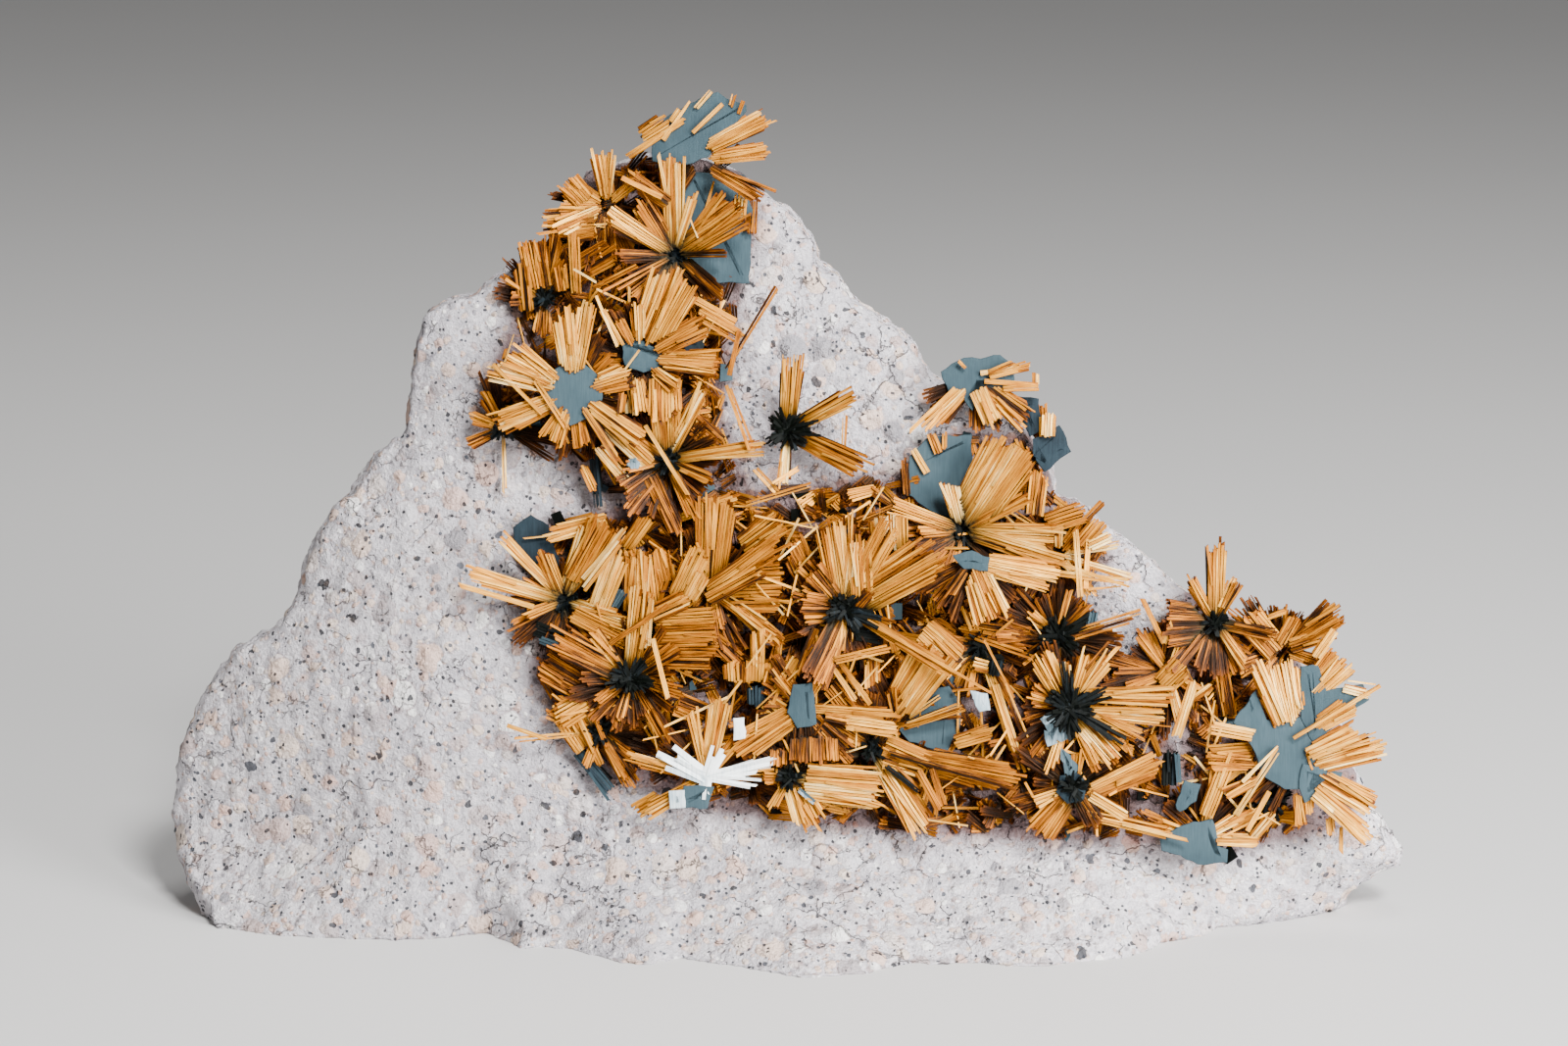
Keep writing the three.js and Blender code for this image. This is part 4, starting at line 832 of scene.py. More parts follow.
def core_blades(laths, star, lift):
    """Short black blades that crowd the middle of a star, where it has them."""
    rng = laths.rng
    u, v, _ = star["at"]
    radius, count = star.get("black", (0, 0))
    for k in range(count * 4):
        angle = math.radians(60 * k + rng.uniform(-29, 29))
        reach = radius * rng.uniform(0.3, 1.15)
        w = star["at"][2] + lift
        start = (u + rng.uniform(-0.3, 0.3), v + rng.uniform(-0.3, 0.3), w + rng.uniform(-0.5, 0.2))
        end = (u + reach * math.cos(angle), v + reach * math.sin(angle), w + rng.uniform(-0.4, 0.9))
        laths.lath(
            start, end, rng.uniform(0.16, 0.42), rng.uniform(0.12, 0.25), BLACK + rng.uniform(-0.04, 0.12),
            taper=1.4, material=1, roll=0.6)


def hematite_plate(bm, layer, corners, depth_at, thick, steps, shade, rng):
    """A plate with chipped edges and low growth steps on its face."""
    outline = []
    for k, (u, v) in enumerate(corners):
        nu, nv = corners[(k + 1) % len(corners)]
        size = math.hypot(nu - u, nv - v)
        parts = max(2, round(size / CHIP))
        for j in range(parts):
            t = j / parts
            bite = 0 if j == 0 else rng.choice(CHIP_OUT)
            pu, pv = u + (nu - u) * t, v + (nv - v) * t
            outline.append((pu + bite * (nv - v) / size, pv - bite * (nu - u) / size))
    made = bmesh.ops.create_circle(bm, cap_ends=True, segments=len(outline), radius=1)
    for vert, (u, v) in zip(made["verts"], outline):
        vert.co = face_point(u, v, depth_at(u, v) - thick / 2)
    base = made["verts"][0].link_faces[0]
    grown = bmesh.ops.extrude_face_region(bm, geom=[base], use_keep_orig=True)
    top_verts = [g for g in grown["geom"] if isinstance(g, bmesh.types.BMVert)]
    bmesh.ops.translate(bm, verts=top_verts, vec=OUT_FACE * thick * MM)
    top = [g for g in grown["geom"] if isinstance(g, bmesh.types.BMFace)][0]
    rim = list(top.edges)
    sides = {f for v in top_verts + made["verts"] for f in v.link_faces}
    bmesh.ops.recalc_face_normals(bm, faces=list(sides))
    for k in range(steps):
        bmesh.ops.inset_region(
            bm, faces=[top], thickness=(STEP_IN + STEP_MORE * k) * MM, depth=0.0, use_even_offset=False)
        bmesh.ops.translate(bm, verts=list(top.verts), vec=OUT_FACE * STEP_HEIGHT * MM)
    bmesh.ops.bevel(
        bm, geom=rim, offset=RIM_BEVEL * MM, offset_type="OFFSET", segments=1, profile=0.5,
        affect="EDGES", material=-1)
    for face in {f for f in bm.faces if f[layer] == 0}:
        face[layer] = shade


# Shading.


def put(tree, kind, inputs=None, **settings):
    """Adds a node. An input may be a value or the socket that feeds it."""
    node = tree.nodes.new(kind)
    for key, value in settings.items():
        setattr(node, key, value)
    for key, value in (inputs or {}).items():
        if isinstance(value, bpy.types.NodeSocket):
            tree.links.new(value, node.inputs[key])
        else:
            node.inputs[key].default_value = value
    return node


def maths(tree, operation, a, b=0.0, clamp=False):
    """A Math node's output."""
    return put(tree, "ShaderNodeMath", {0: a, 1: b}, operation=operation, use_clamp=clamp).outputs[0]


def ranged(tree, value, low, high, first=0.0, last=1.0):
    """A Map Range node's output: low becomes first and high becomes last."""
    return put(tree, "ShaderNodeMapRange", {
        "Value": value, "From Min": low, "From Max": high, "To Min": first, "To Max": last}).outputs[0]


def ramp(tree, fac, stops):
    """A colour ramp's output, from (place, colour) stops."""
    node = put(tree, "ShaderNodeValToRGB", {"Fac": fac})
    elements = node.color_ramp.elements
    for k, (place, colour) in enumerate(stops):
        element = elements[k] if k < 2 else elements.new(place)
        element.position = place
        element.color = (*colour, 1)
    return node.outputs["Color"]


def blend_colour(tree, fac, a, b, mode="MIX"):
    """A colour Mix node's output."""
    node = put(tree, "ShaderNodeMix", data_type="RGBA", blend_type=mode)
    for key, value in ((0, fac), (6, a), (7, b)):
        if isinstance(value, bpy.types.NodeSocket):
            tree.links.new(value, node.inputs[key])
        else:
            node.inputs[key].default_value = value if key == 0 else (*value, 1)
    return node.outputs[2]


def noise_at(tree, vector, scale, detail=2.0, roughness=0.5):
    """A noise texture's value."""
    return put(tree, "ShaderNodeTexNoise", {
        "Vector": vector, "Scale": scale, "Detail": detail, "Roughness": roughness}).outputs["Fac"]


def speck_group():
    """Shared group: a mask of scattered grains of one size, each with its own number."""
    group = bpy.data.node_groups.new("Scattered grains", "ShaderNodeTree")
    face = group.interface
    face.new_socket("Vector", in_out="INPUT", socket_type="NodeSocketVector")
    for name, value in (("Scale", 500.0), ("Share", 0.1), ("Size", 0.3), ("Ragged", 0.0004)):
        face.new_socket(name, in_out="INPUT", socket_type="NodeSocketFloat").default_value = value
    for name in ("Mask", "Rim", "Number", "Dome"):
        face.new_socket(name, in_out="OUTPUT", socket_type="NodeSocketFloat")
    enter = put(group, "NodeGroupInput")
    leave = put(group, "NodeGroupOutput")
    place = enter.outputs["Vector"]
    wobble = put(group, "ShaderNodeTexNoise", {"Vector": place, "Scale": 900.0, "Detail": 3.0})
    centred = put(group, "ShaderNodeVectorMath", {0: wobble.outputs["Color"], 1: (0.5, 0.5, 0.5)},
                  operation="SUBTRACT")
    shift = put(group, "ShaderNodeVectorMath", {0: centred.outputs[0], "Scale": enter.outputs["Ragged"]},
                operation="SCALE")
    moved = put(group, "ShaderNodeVectorMath", {0: place, 1: shift.outputs[0]}, operation="ADD")
    cells = put(group, "ShaderNodeTexVoronoi", {"Vector": moved.outputs[0], "Scale": enter.outputs["Scale"]})
    parts = put(group, "ShaderNodeSeparateColor", {"Color": cells.outputs["Color"]})
    chosen = maths(group, "LESS_THAN", parts.outputs["Red"], enter.outputs["Share"])
    varied = maths(group, "ADD", parts.outputs["Green"], 0.5)
    radius = maths(group, "MULTIPLY", enter.outputs["Size"], varied)
    depth = maths(group, "SUBTRACT", radius, cells.outputs["Distance"])
    ring = ranged(group, maths(group, "ABSOLUTE", depth), 0.0, 0.07, 1.0, 0.0)
    for name, value in (
        ("Mask", maths(group, "MULTIPLY", ranged(group, depth, 0.0, 0.06), chosen)),
        ("Rim", maths(group, "MULTIPLY", ring, chosen)),
        ("Number", parts.outputs["Blue"]),
        ("Dome", maths(group, "MULTIPLY", maths(group, "MAXIMUM", depth, 0.0), chosen)),
    ):
        group.links.new(value, leave.inputs[name])
    return group


def streak_group():
    """Shared group: fine streaks that run along a lath or blade."""
    group = bpy.data.node_groups.new("Streaks along", "ShaderNodeTree")
    face = group.interface
    face.new_socket("Fine", in_out="INPUT", socket_type="NodeSocketFloat").default_value = 9.0
    face.new_socket("Streak", in_out="OUTPUT", socket_type="NodeSocketFloat")
    enter = put(group, "NodeGroupInput")
    leave = put(group, "NodeGroupOutput")
    uv = put(group, "ShaderNodeUVMap", uv_map="lath")
    split = put(group, "ShaderNodeSeparateXYZ", {0: uv.outputs[0]})
    joined = put(group, "ShaderNodeCombineXYZ",
                 {0: maths(group, "MULTIPLY", split.outputs[0], enter.outputs["Fine"]),
                  1: maths(group, "MULTIPLY", split.outputs[1], 0.35)})
    streak = noise_at(group, joined.outputs[0], 1.0, 3.0, 0.6)
    group.links.new(streak, leave.inputs["Streak"])
    return group


def use_group(tree, group, inputs):
    """Places a shared group in a material."""
    node = put(tree, "ShaderNodeGroup", node_tree=group)
    for key, value in inputs.items():
        if isinstance(value, bpy.types.NodeSocket):
            tree.links.new(value, node.inputs[key])
        else:
            node.inputs[key].default_value = value
    return node


def new_material(name):
    """An empty node material with its shader, and the tree."""
    material = bpy.data.materials.new(name)
    material.use_nodes = True
    tree = material.node_tree
    tree.nodes.clear()
    shader = tree.nodes.new("ShaderNodeBsdfPrincipled")
    output = tree.nodes.new("ShaderNodeOutputMaterial")
    tree.links.new(shader.outputs[0], output.inputs[0])
    return material, tree, shader


def feed(tree, shader, **sockets):
    """Links sockets or sets values on the shader, by name with spaces as underscores."""
    for key, value in sockets.items():
        target = shader.inputs[key.replace("_", " ")]
        if isinstance(value, bpy.types.NodeSocket):
            tree.links.new(value, target)
        else:
            target.default_value = value


def crack_mask(tree, place, scale, width):
    """Hairline cracks: the walls between large bent cells, broken off by noise."""
    bend = put(tree, "ShaderNodeTexNoise", {"Vector": place, "Scale": scale * 6, "Detail": 4.0})
    bent = put(tree, "ShaderNodeVectorMath", {0: bend.outputs["Color"], "Scale": 0.35 / scale},
               operation="SCALE")
    moved = put(tree, "ShaderNodeVectorMath", {0: place, 1: bent.outputs[0]}, operation="ADD")
    walls = put(tree, "ShaderNodeTexVoronoi", {"Vector": moved.outputs[0], "Scale": scale},
                feature="DISTANCE_TO_EDGE")
    line = ranged(tree, walls.outputs["Distance"], 0.0, width, 1.0, 0.0)
    kept = ranged(tree, noise_at(tree, place, scale * 1.3, 2.0), 0.52, 0.6)
    return maths(tree, "MULTIPLY", line, kept)


def tuff_material(grains, pale):
    """Pale volcanic ground with ragged fragments, rusty rims, dark grains and cracks."""
    material, tree, shader = new_material("Tuff")
    place = put(tree, "ShaderNodeTexCoord").outputs["Object"]
    broad = noise_at(tree, place, 45.0, 4.0, 0.6)
    fine = noise_at(tree, place, 3000.0, 3.0, 0.7)
    middle = noise_at(tree, place, 900.0, 4.0, 0.65)
    ground = ramp(tree, broad, [
        (0.32, [pale[0] * 0.84, pale[1] * 0.84, pale[2] * 0.87]), (0.5, pale),
        (0.66, [c * 1.12 for c in pale])])
    mottled = ramp(tree, middle, [
        (0.28, (0.52, 0.51, 0.53)), (0.42, (0.92, 0.91, 0.92)), (0.56, (1.05, 1.04, 1.04)),
        (0.72, (1.3, 1.28, 1.26))])
    colour = blend_colour(tree, 1.0, ground, mottled, "MULTIPLY")
    height = maths(tree, "MULTIPLY", middle, 0.7)
    rusty = noise_at(tree, place, 1300.0, 2.0)
    fragments = [
        (1600.0, 0.5, 0.42, 0.00030, 0.4),
        (720.0, 0.5, 0.42, 0.0005, 0.6),
        (380.0, 0.45, 0.42, 0.0008, 0.8),
    ]
    for scale, share, size, ragged, tall in fragments:
        grain = use_group(tree, grains, {
            "Vector": place, "Scale": scale, "Share": share, "Size": size, "Ragged": ragged})
        tint = ramp(tree, grain.outputs["Number"],
                    [(0.0, (0.26, 0.25, 0.27)), (0.16, (0.46, 0.40, 0.40)), (0.36, (0.70, 0.45, 0.36)),
                     (0.6, (0.78, 0.62, 0.50)), (0.8, (0.58, 0.56, 0.59)), (1.0, (1.0, 0.97, 0.93))])
        colour = blend_colour(tree, maths(tree, "MULTIPLY", grain.outputs["Mask"], 0.85), colour, tint)
        rim = maths(tree, "MULTIPLY", maths(tree, "MULTIPLY", grain.outputs["Rim"], rusty), 0.75)
        colour = blend_colour(tree, rim, colour, (0.30, 0.19, 0.17))
        height = maths(tree, "ADD", height, maths(tree, "MULTIPLY", grain.outputs["Dome"], tall * 2.2))
    for scale, share, size, ragged in ((2600.0, 0.09, 0.42, 0.0003), (1300.0, 0.06, 0.34, 0.0008),
                                       (650.0, 0.03, 0.32, 0.0014), (300.0, 0.011, 0.20, 0.0018)):
        grain = use_group(tree, grains, {
            "Vector": place, "Scale": scale, "Share": share, "Size": size, "Ragged": ragged})
        dark = ramp(tree, grain.outputs["Number"], [(0.0, (0.012, 0.012, 0.014)), (0.6, (0.035, 0.04, 0.05)),
                                                    (1.0, (0.09, 0.10, 0.12))])
        colour = blend_colour(tree, maths(tree, "MULTIPLY", grain.outputs["Mask"], 0.92), colour, dark)
        height = maths(tree, "SUBTRACT", height, maths(tree, "MULTIPLY", grain.outputs["Mask"], 0.25))
    cracks = maths(tree, "ADD", crack_mask(tree, place, 95.0, 0.012), crack_mask(tree, place, 260.0, 0.02),
                   clamp=True)
    colour = blend_colour(tree, maths(tree, "MULTIPLY", cracks, 0.75), colour, (0.10, 0.085, 0.08))
    height = maths(tree, "SUBTRACT", height, cracks)
    pitted = ramp(tree, fine, [(0.3, (0.78, 0.78, 0.79)), (0.7, (1.14, 1.14, 1.14))])
    colour = blend_colour(tree, 1.0, colour, pitted, "MULTIPLY")
    # Painted light: the stone is painted paler toward the right, standing in for stronger light there.
    across = put(tree, "ShaderNodeSeparateXYZ", {0: place}).outputs[0]
    painted_light_right = ranged(tree, across, -0.06, 0.06, 0.85, 1.24)
    colour = blend_colour(tree, 1.0, colour, painted_light_right, "MULTIPLY")
    # Painted shade: the stone is darkened within and near the bands that crystals cover.
    painted_shade = put(tree, "ShaderNodeAttribute", attribute_name="painted_shade_near_crystals").outputs["Fac"]
    colour = blend_colour(tree, painted_shade, colour, (0.36, 0.27, 0.26), "MULTIPLY")
    height = maths(tree, "ADD", height, maths(tree, "MULTIPLY", fine, 0.7))
    bump = put(tree, "ShaderNodeBump", {"Height": height, "Strength": 1.0, "Distance": 0.0006})
    feed(tree, shader, Base_Color=colour, Roughness=0.9, Normal=bump.outputs[0])
    shader.inputs["Specular IOR Level"].default_value = 0.3
    return material


def rutile_material(streaks):
    """Golden laths: a shade for each, streaks along it and a red-brown broken end."""
    material, tree, shader = new_material("Rutile")
    place = put(tree, "ShaderNodeTexCoord").outputs["Object"]
    shade = put(tree, "ShaderNodeAttribute", attribute_name="shade").outputs["Fac"]
    end = put(tree, "ShaderNodeAttribute", attribute_name="broken_end").outputs["Fac"]
    streak = use_group(tree, streaks, {"Fine": 9.0}).outputs[0]
    patch = noise_at(tree, place, 350.0, 3.0)
    lighter = maths(tree, "MULTIPLY", maths(tree, "SUBTRACT", streak, 0.52), 1.1)
    mottled = maths(tree, "MULTIPLY", maths(tree, "SUBTRACT", patch, 0.5), 0.4)
    level = maths(tree, "ADD", shade, maths(tree, "ADD", lighter, mottled), clamp=True)
    colour = ramp(tree, level, [
        (0.0, (0.012, 0.004, 0.001)), (0.09, (0.050, 0.015, 0.002)), (0.19, (0.14, 0.038, 0.001)),
        (0.34, (0.36, 0.108, 0.003)), (0.5, (0.48, 0.18, 0.010)), (0.62, (0.63, 0.26, 0.018)),
        (0.73, (0.74, 0.33, 0.034)), (0.87, (0.88, 0.50, 0.11)), (1.0, (0.98, 0.72, 0.30))])
    share = put(tree, "ShaderNodeAttribute", attribute_name="share").outputs["Fac"]
    rooted = put(tree, "ShaderNodeAttribute", attribute_name="rooted").outputs["Fac"]
    root = maths(tree, "MULTIPLY", maths(tree, "POWER", maths(tree, "SUBTRACT", 1.0, share), 4.0), rooted)
    colour = blend_colour(tree, root, colour, (0.016, 0.013, 0.004))
    colour = blend_colour(tree, maths(tree, "MULTIPLY", maths(tree, "POWER", share, 12.0), 0.35), colour,
                          (0.30, 0.075, 0.003))
    colour = blend_colour(tree, maths(tree, "MULTIPLY", end, 0.7), colour, (0.13, 0.032, 0.003))
    rough = maths(tree, "ADD", maths(tree, "MULTIPLY", streak, 0.35), 0.25)
    bump = put(tree, "ShaderNodeBump", {"Height": streak, "Strength": 0.6, "Distance": 0.00008})
    feed(tree, shader, Base_Color=colour, Roughness=rough, Normal=bump.outputs[0])
    shader.inputs["Metallic"].default_value = 0.4
    shader.inputs["Specular IOR Level"].default_value = 0.12
    return material


def hematite_material():
    """Steel-grey plates with a metallic lustre, from black to silver white, the pale end
    painted reflection.
    """
    material, tree, shader = new_material("Hematite")
    place = put(tree, "ShaderNodeTexCoord").outputs["Object"]
    shade = put(tree, "ShaderNodeAttribute", attribute_name="shade").outputs["Fac"]
    patch = noise_at(tree, place, 260.0, 3.0)
    fine = noise_at(tree, place, 1800.0, 3.0)
    scratch = put(tree, "ShaderNodeMapping", {"Vector": place, "Rotation": (0.0, 0.6, 0.0),
                                              "Scale": (3.0, 1.0, 0.12)})
    lines = noise_at(tree, scratch.outputs[0], 2200.0, 2.0)
    varied = maths(tree, "ADD", maths(tree, "MULTIPLY", maths(tree, "SUBTRACT", patch, 0.5), 0.3),
                   maths(tree, "MULTIPLY", maths(tree, "SUBTRACT", lines, 0.5), 0.22))
    level = maths(tree, "ADD", shade, varied, clamp=True)
    # From about 0.8 up, the ramp's pale blue-grey and white are painted reflection on the flat plates.
    colour = ramp(tree, level, [
        (0.0, (0.001, 0.002, 0.001)), (0.12, (0.004, 0.005, 0.0045)), (0.3, (0.013, 0.023, 0.031)),
        (0.6, (0.037, 0.064, 0.077)), (0.74, (0.054, 0.087, 0.103)), (0.86, (0.34, 0.45, 0.51)),
        (1.0, (0.94, 0.97, 0.96))])
    rough = maths(tree, "ADD", maths(tree, "MULTIPLY", fine, 0.25), 0.42)
    bump = put(tree, "ShaderNodeBump", {"Height": maths(tree, "ADD", lines, fine), "Strength": 0.15,
                                        "Distance": 0.00006})
    feed(tree, shader, Base_Color=colour, Roughness=rough, Normal=bump.outputs[0])
    shader.inputs["Metallic"].default_value = 0.2
    shader.inputs["Specular IOR Level"].default_value = 0.1
    return material


def floor_material(colour):
    """Plain pale floor."""
    material, tree, shader = new_material("Plain floor")
    place = put(tree, "ShaderNodeTexCoord").outputs["Object"]
    tint = ramp(tree, noise_at(tree, place, 4.0, 2.0), [(0.3, [c * 0.98 for c in colour]), (0.7, colour)])
    feed(tree, shader, Base_Color=tint, Roughness=0.7)
    return material


def shared(name, make, *given):
    """The material of that name, made the first time it is asked for."""
    return bpy.data.materials.get(name) or make(*given)


def shared_group(name, make):
    """The node group of that name, made the first time it is asked for."""
    return bpy.data.node_groups.get(name) or make()


# Operators.


class SPECIMEN_OT_stone(bpy.types.Operator):
    """Builds the tuff: the stone's solid reskinned, with lumps, ledges and knobs"""

    bl_idname = "specimen.stone"
    bl_label = "Tuff stone"

    def execute(self, context):
        sizes = context.scene.specimen_stone
        bm = bmesh.new()
        bm.from_mesh(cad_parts["tuff_matrix"].data)
        bmesh.ops.remove_doubles(bm, verts=bm.verts, dist=1e-6)
        mesh = bpy.data.meshes.new("stone_blank")
        bm.to_mesh(mesh)
        bm.free()
        blank = bpy.data.objects.new("stone_blank", mesh)
        context.scene.collection.objects.link(blank)
        skin = blank.modifiers.new("Skin", "REMESH")
        skin.mode = "VOXEL"
        skin.voxel_size = sizes.voxel
        graph = context.evaluated_depsgraph_get()
        skinned = bpy.data.meshes.new_from_object(blank.evaluated_get(graph))
        bm = bmesh.new()
        bm.from_mesh(skinned)
        bpy.data.objects.remove(blank)
        bm.normal_update()
        low, high = (Vector(corner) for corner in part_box("tuff_matrix"))
        moves = [(vert, self.push(vert.co, sizes)) for vert in bm.verts]
        for vert, push in moves:
            held = min(1.0, max(0.0, vert.co.z / FOOT_CALM))
            vert.co += vert.normal * push * held
            vert.co = Vector(min(high[i], max(low[i], vert.co[i])) for i in range(3))
            if vert.normal.z < -0.4 and vert.co.z < FOOT_FLAT:
                vert.co.z = 0.0
            elif vert.normal.z > 0.4:
                vert.co.z = max(vert.co.z, FOOT_EDGE)
        painted_shade = bm.verts.layers.float.new("painted_shade_near_crystals")
        for vert in bm.verts:
            vert[painted_shade] = painted_shade_near_crystals(vert.co / MM)
        for face in bm.faces:
            face.smooth = True
        tuff = shared("Tuff", tuff_material, shared_group("Scattered grains", speck_group), list(sizes.pale))
        finish_piece("tuff_stone", bm, [tuff], "tuff_matrix")
        return {"FINISHED"}

    @staticmethod
    def push(co, sizes):
        """How far one place on the skin moves out."""
        p = co / MM
        broad = noise.noise(p / 9.0) + 0.7 * noise.noise(p / 4.3) + 0.4 * noise.noise(p / 2.2)
        rough = noise.noise(p / 1.2)
        gaps, spots = noise.voronoi(p / 2.3)
        raised = noise.cell(spots[0] * 3.7)
        knob = max(0.0, 0.55 - gaps[0]) * (1.6 if raised > 0.2 else 0.3)
        bent = p / 3.1 + noise.noise_vector(p / 1.6) * 0.25
        ledge = noise.cell(bent) + 0.6 * noise.cell(bent * 1.9)
        return sizes.lump * (0.5 * broad + 0.3 * ledge) + sizes.knob * (0.8 * knob + 0.7 * rough)


class SPECIMEN_OT_hematite(bpy.types.Operator):
    """Builds the hematite plates and black blades of the stars that show them"""

    bl_idname = "specimen.hematite"
    bl_label = "Hematite crystals"

    def execute(self, context):
        sizes = context.scene.specimen_crystals
        iron = shared("Hematite", hematite_material)
        for k, (name, star) in enumerate(STARS.items()):
            node = f"hematite_{name}"
            if "shade" not in star:
                continue
            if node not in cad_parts:
                raise RuntimeError(f"the frame has no node {node}")
            rng = random.Random(sizes.seed * 100 + k)
            laths = Laths(rng)
            lift = star.get("lift", 0.5)
            over_rays = lift if star.get("over") or lift < 0 else 0.4
            for plate in star.get("plates", []):
                own = isinstance(plate, tuple)
                shade, over, corners = plate if own else (star["shade"], over_rays - 0.45, plate)
                hematite_plate(
                    laths.bm, laths.shade, corners, lambda u, v, over=over: plane_depth(star, u, v) + over,
                    sizes.plate_thick / MM, 2, shade + rng.uniform(-0.05, 0.05), rng)
            for degrees, length, width in star.get("blades", []):
                ray = (degrees, length, width, star["shade"])
                self.blade(laths, star, ray, lift)
            core_blades(laths, star, lift)
            for face in laths.bm.faces:
                face.material_index = 0
            finish_piece(f"hematite_{name}_crystals", laths.bm, [iron], node)
        return {"FINISHED"}

    @staticmethod
    def blade(laths, star, ray, lift):
        """An arm of a rosette: narrow blades side by side."""
        degrees, length, width, shade = ray
        rng = laths.rng
        u, v, _ = star["at"]
        angle = math.radians(degrees)
        for k in range(ARM_BLADES):
            turn = angle + math.radians(rng.uniform(-5, 5))
            reach = length * rng.uniform(0.6, 1.0)
            side = (k / (ARM_BLADES - 1) - 0.5) * width * 0.8
            a = (u - math.sin(angle) * side * 0.4, v + math.cos(angle) * side * 0.4)
            b = (u + math.cos(turn) * reach - math.sin(angle) * side,
                 v + math.sin(turn) * reach + math.cos(angle) * side)
            wa = bowl_depth(star, *a) + lift - 0.2
            wb = bowl_depth(star, *b) + lift - 0.1 + rng.uniform(-0.2, 0.3)
            laths.lath(
                (*a, wa), (*b, wb), width * 0.2, 0.26, shade + rng.uniform(-0.05, 0.1), taper=1.3, roll=0.3)


class SPECIMEN_OT_rutile(bpy.types.Operator):
    """Builds the rutile stars: each ray a bundle of laths with a ragged end"""

    bl_idname = "specimen.rutile"
    bl_label = "Rutile stars"

    def execute(self, context):
        sizes = context.scene.specimen_crystals
        gold = shared("Rutile", rutile_material, shared_group("Streaks along", streak_group))
        iron = shared("Hematite", hematite_material)
        by_star = {}
        for k, (name, star) in enumerate(STARS.items()):
            if not star["rays"]:
                continue
            if f"rutile_{name}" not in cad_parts:
                raise RuntimeError(f"the frame has no node rutile_{name}")
            laths = by_star[name] = Laths(random.Random(sizes.seed * 1000 + k))
            for ray in star["rays"]:
                grow_ray(laths, star, ray, sizes)
            for table, material in ((COMBS, 0), (DARK_COMBS, 1)):
                for *ends, width, shade in table.get(name, []):
                    grow_comb(laths, ends[:3], ends[3:], width, shade, sizes, material=material)
            grow_needles(laths, star, sizes)
            if "fill" in star:
                self.fill(laths, star, sizes)
            if "shade" not in star:
                core_blades(laths, star, 0.2)
        rock = bmesh.new()
        rock.from_mesh(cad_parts["tuff_matrix"].data)
        grow_mat(by_star, BVHTree.FromBMesh(rock), sizes)
        rock.free()
        for name, laths in by_star.items():
            finish_piece(f"rutile_{name}_laths", laths.bm, [gold, iron], f"rutile_{name}")
        return {"FINISHED"}

    @staticmethod
    def fill(laths, star, sizes):
        """Shorter rays below the main ones, over the sector that crystals cover, painted darker
        as painted shade.
        """
        rng = laths.rng
        first, last = star["fill"]
        angle = first + rng.uniform(0, 12)
        u, v, _ = star["at"]
        while angle < last:
            reach = rng.uniform(4.5, 7.5)
            ray = (angle, reach, rng.uniform(1.0, 2.4), rng.choice(FILL_TONES))
            turn = math.radians(angle)
            places = [(u + math.cos(turn) * s, v + math.sin(turn) * s) for s in (0.6 * reach, reach)]
            if not any(under_plate(*place) for place in places):
                grow_ray(laths, star, ray, sizes, below=rng.uniform(0.7, 1.5))
            angle += rng.uniform(14, 27)


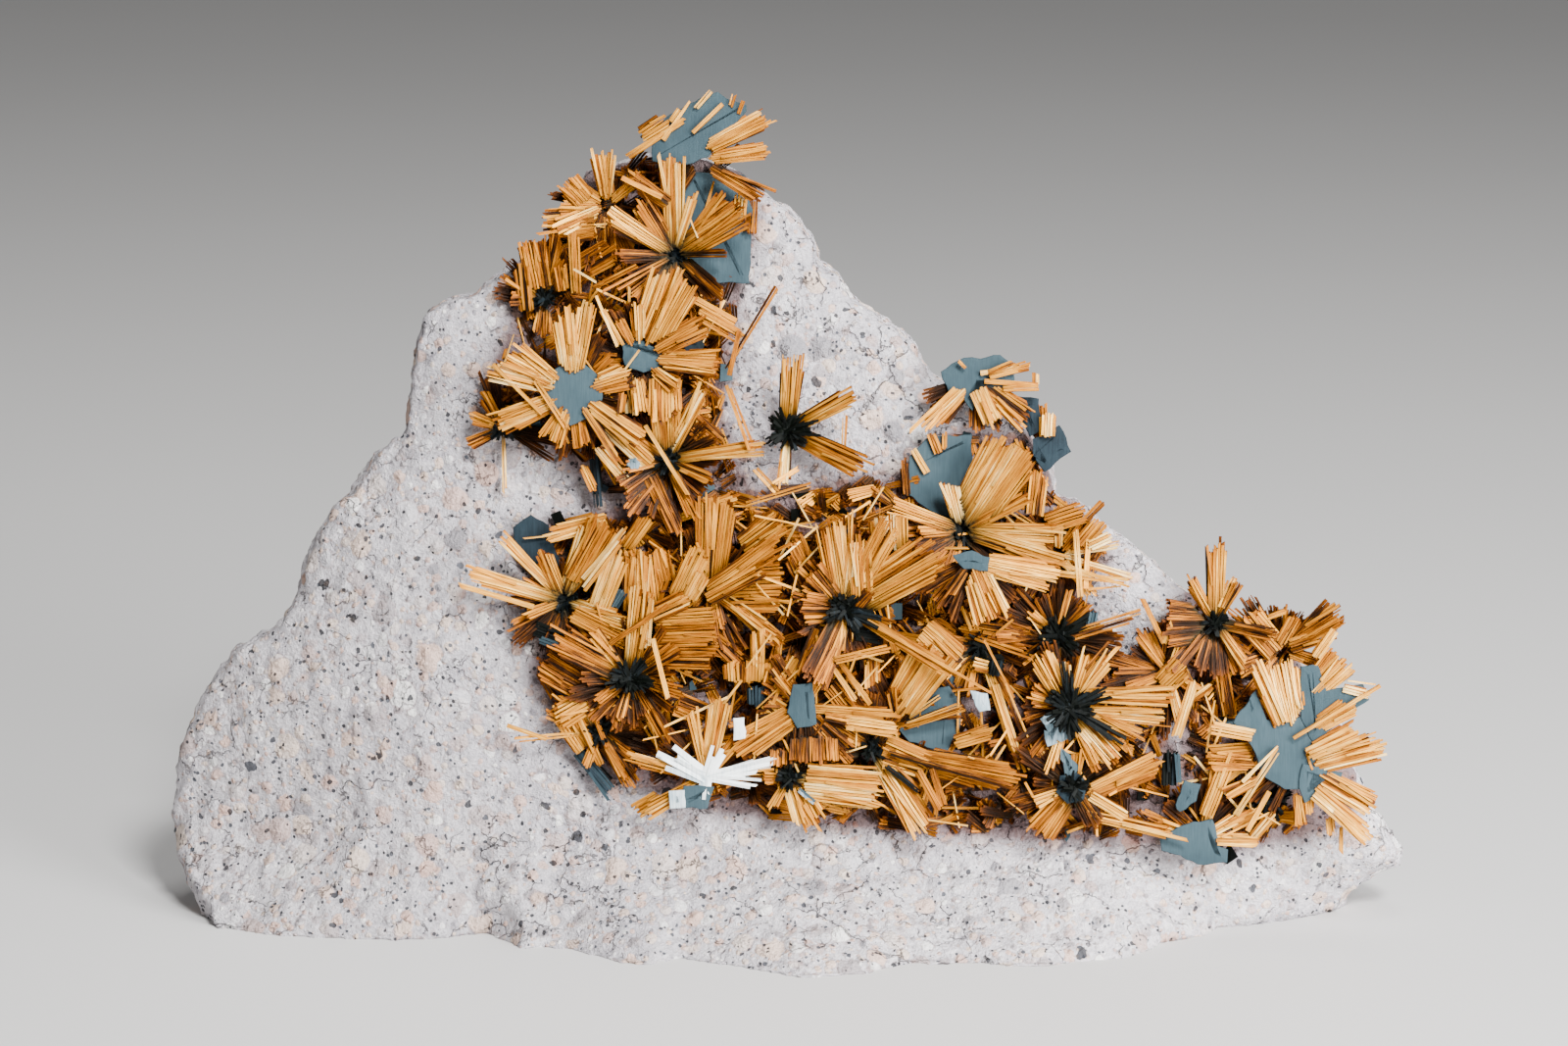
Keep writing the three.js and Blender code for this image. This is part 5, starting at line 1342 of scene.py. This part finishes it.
class SPECIMEN_OT_stage(bpy.types.Operator):
    """Sets the floor, the lights and the camera"""

    bl_idname = "specimen.stage"
    bl_label = "Stage"

    def execute(self, context):
        sizes = context.scene.specimen_stage
        scene = context.scene
        bm = bmesh.new()
        bmesh.ops.create_grid(bm, x_segments=2, y_segments=2, size=3.0)
        mesh = bpy.data.meshes.new("floor")
        bm.to_mesh(mesh)
        bm.free()
        mesh.materials.append(shared("Plain floor", floor_material, list(sizes.floor_colour)))
        floor = bpy.data.objects.new("floor", mesh)
        scene.collection.objects.link(floor)
        world = bpy.data.worlds.new("Studio")
        world.use_nodes = True
        world.node_tree.nodes["Background"].inputs[0].default_value = (1, 1, 1, 1)
        world.node_tree.nodes["Background"].inputs[1].default_value = 0.22
        scene.world = world
        middle = face_point(-0.3, 41.65, 0)
        for name, place, size, power in (
            ("key", (0.16, -0.42, 0.46), 0.14, 7.4),
            ("fill", (0.26, -0.26, 0.13), 0.2, 3.5),
            ("top", (0.05, 0.1, 0.6), 0.25, 1.4),
        ):
            light = bpy.data.lights.new(name, "AREA")
            light.size = size
            light.energy = power
            lamp = bpy.data.objects.new(name, light)
            lamp.location = place
            lamp.rotation_euler = (Vector(place) - middle).to_track_quat("Z", "Y").to_euler()
            scene.collection.objects.link(lamp)
        lens = bpy.data.cameras.new("camera")
        lens.lens = sizes.lens
        lens.sensor_width = 36
        lens.clip_start = 0.01
        camera = bpy.data.objects.new("camera", lens)
        turn = Matrix((ACROSS, UP_FACE, OUT_FACE)).transposed().to_4x4()
        camera.matrix_world = Matrix.Translation(middle + OUT_FACE * sizes.distance) @ turn
        scene.collection.objects.link(camera)
        scene.camera = camera
        return {"FINISHED"}


class SPECIMEN_PT_panel(bpy.types.Panel):
    """Lists the steps in the sidebar"""

    bl_label = "Rutile on hematite"
    bl_idname = "SPECIMEN_PT_panel"
    bl_space_type = "VIEW_3D"
    bl_region_type = "UI"
    bl_category = "Specimen"

    def draw(self, context):
        layout = self.layout
        scene = context.scene
        for group, steps in (
            (scene.specimen_stone, ("specimen.stone",)),
            (scene.specimen_crystals, ("specimen.hematite", "specimen.rutile")),
            (scene.specimen_stage, ("specimen.stage",)),
        ):
            box = layout.box()
            for name in group.__annotations__:
                box.prop(group, name)
            for step in steps:
                box.operator(step)


CLASSES = (
    StoneSizes, CrystalSizes, StageSizes, SPECIMEN_OT_stone, SPECIMEN_OT_hematite, SPECIMEN_OT_rutile,
    SPECIMEN_OT_stage, SPECIMEN_PT_panel,
)


def register():
    for cls in CLASSES:
        bpy.utils.register_class(cls)
    bpy.types.Scene.specimen_stone = PointerProperty(type=StoneSizes)
    bpy.types.Scene.specimen_crystals = PointerProperty(type=CrystalSizes)
    bpy.types.Scene.specimen_stage = PointerProperty(type=StageSizes)


def unregister():
    del bpy.types.Scene.specimen_stage
    del bpy.types.Scene.specimen_crystals
    del bpy.types.Scene.specimen_stone
    for cls in reversed(CLASSES):
        bpy.utils.unregister_class(cls)


def main():
    register()
    bpy.ops.specimen.stone()
    bpy.ops.specimen.hematite()
    bpy.ops.specimen.rutile()
    bpy.ops.specimen.stage()


if __name__ == "__main__":
    main()
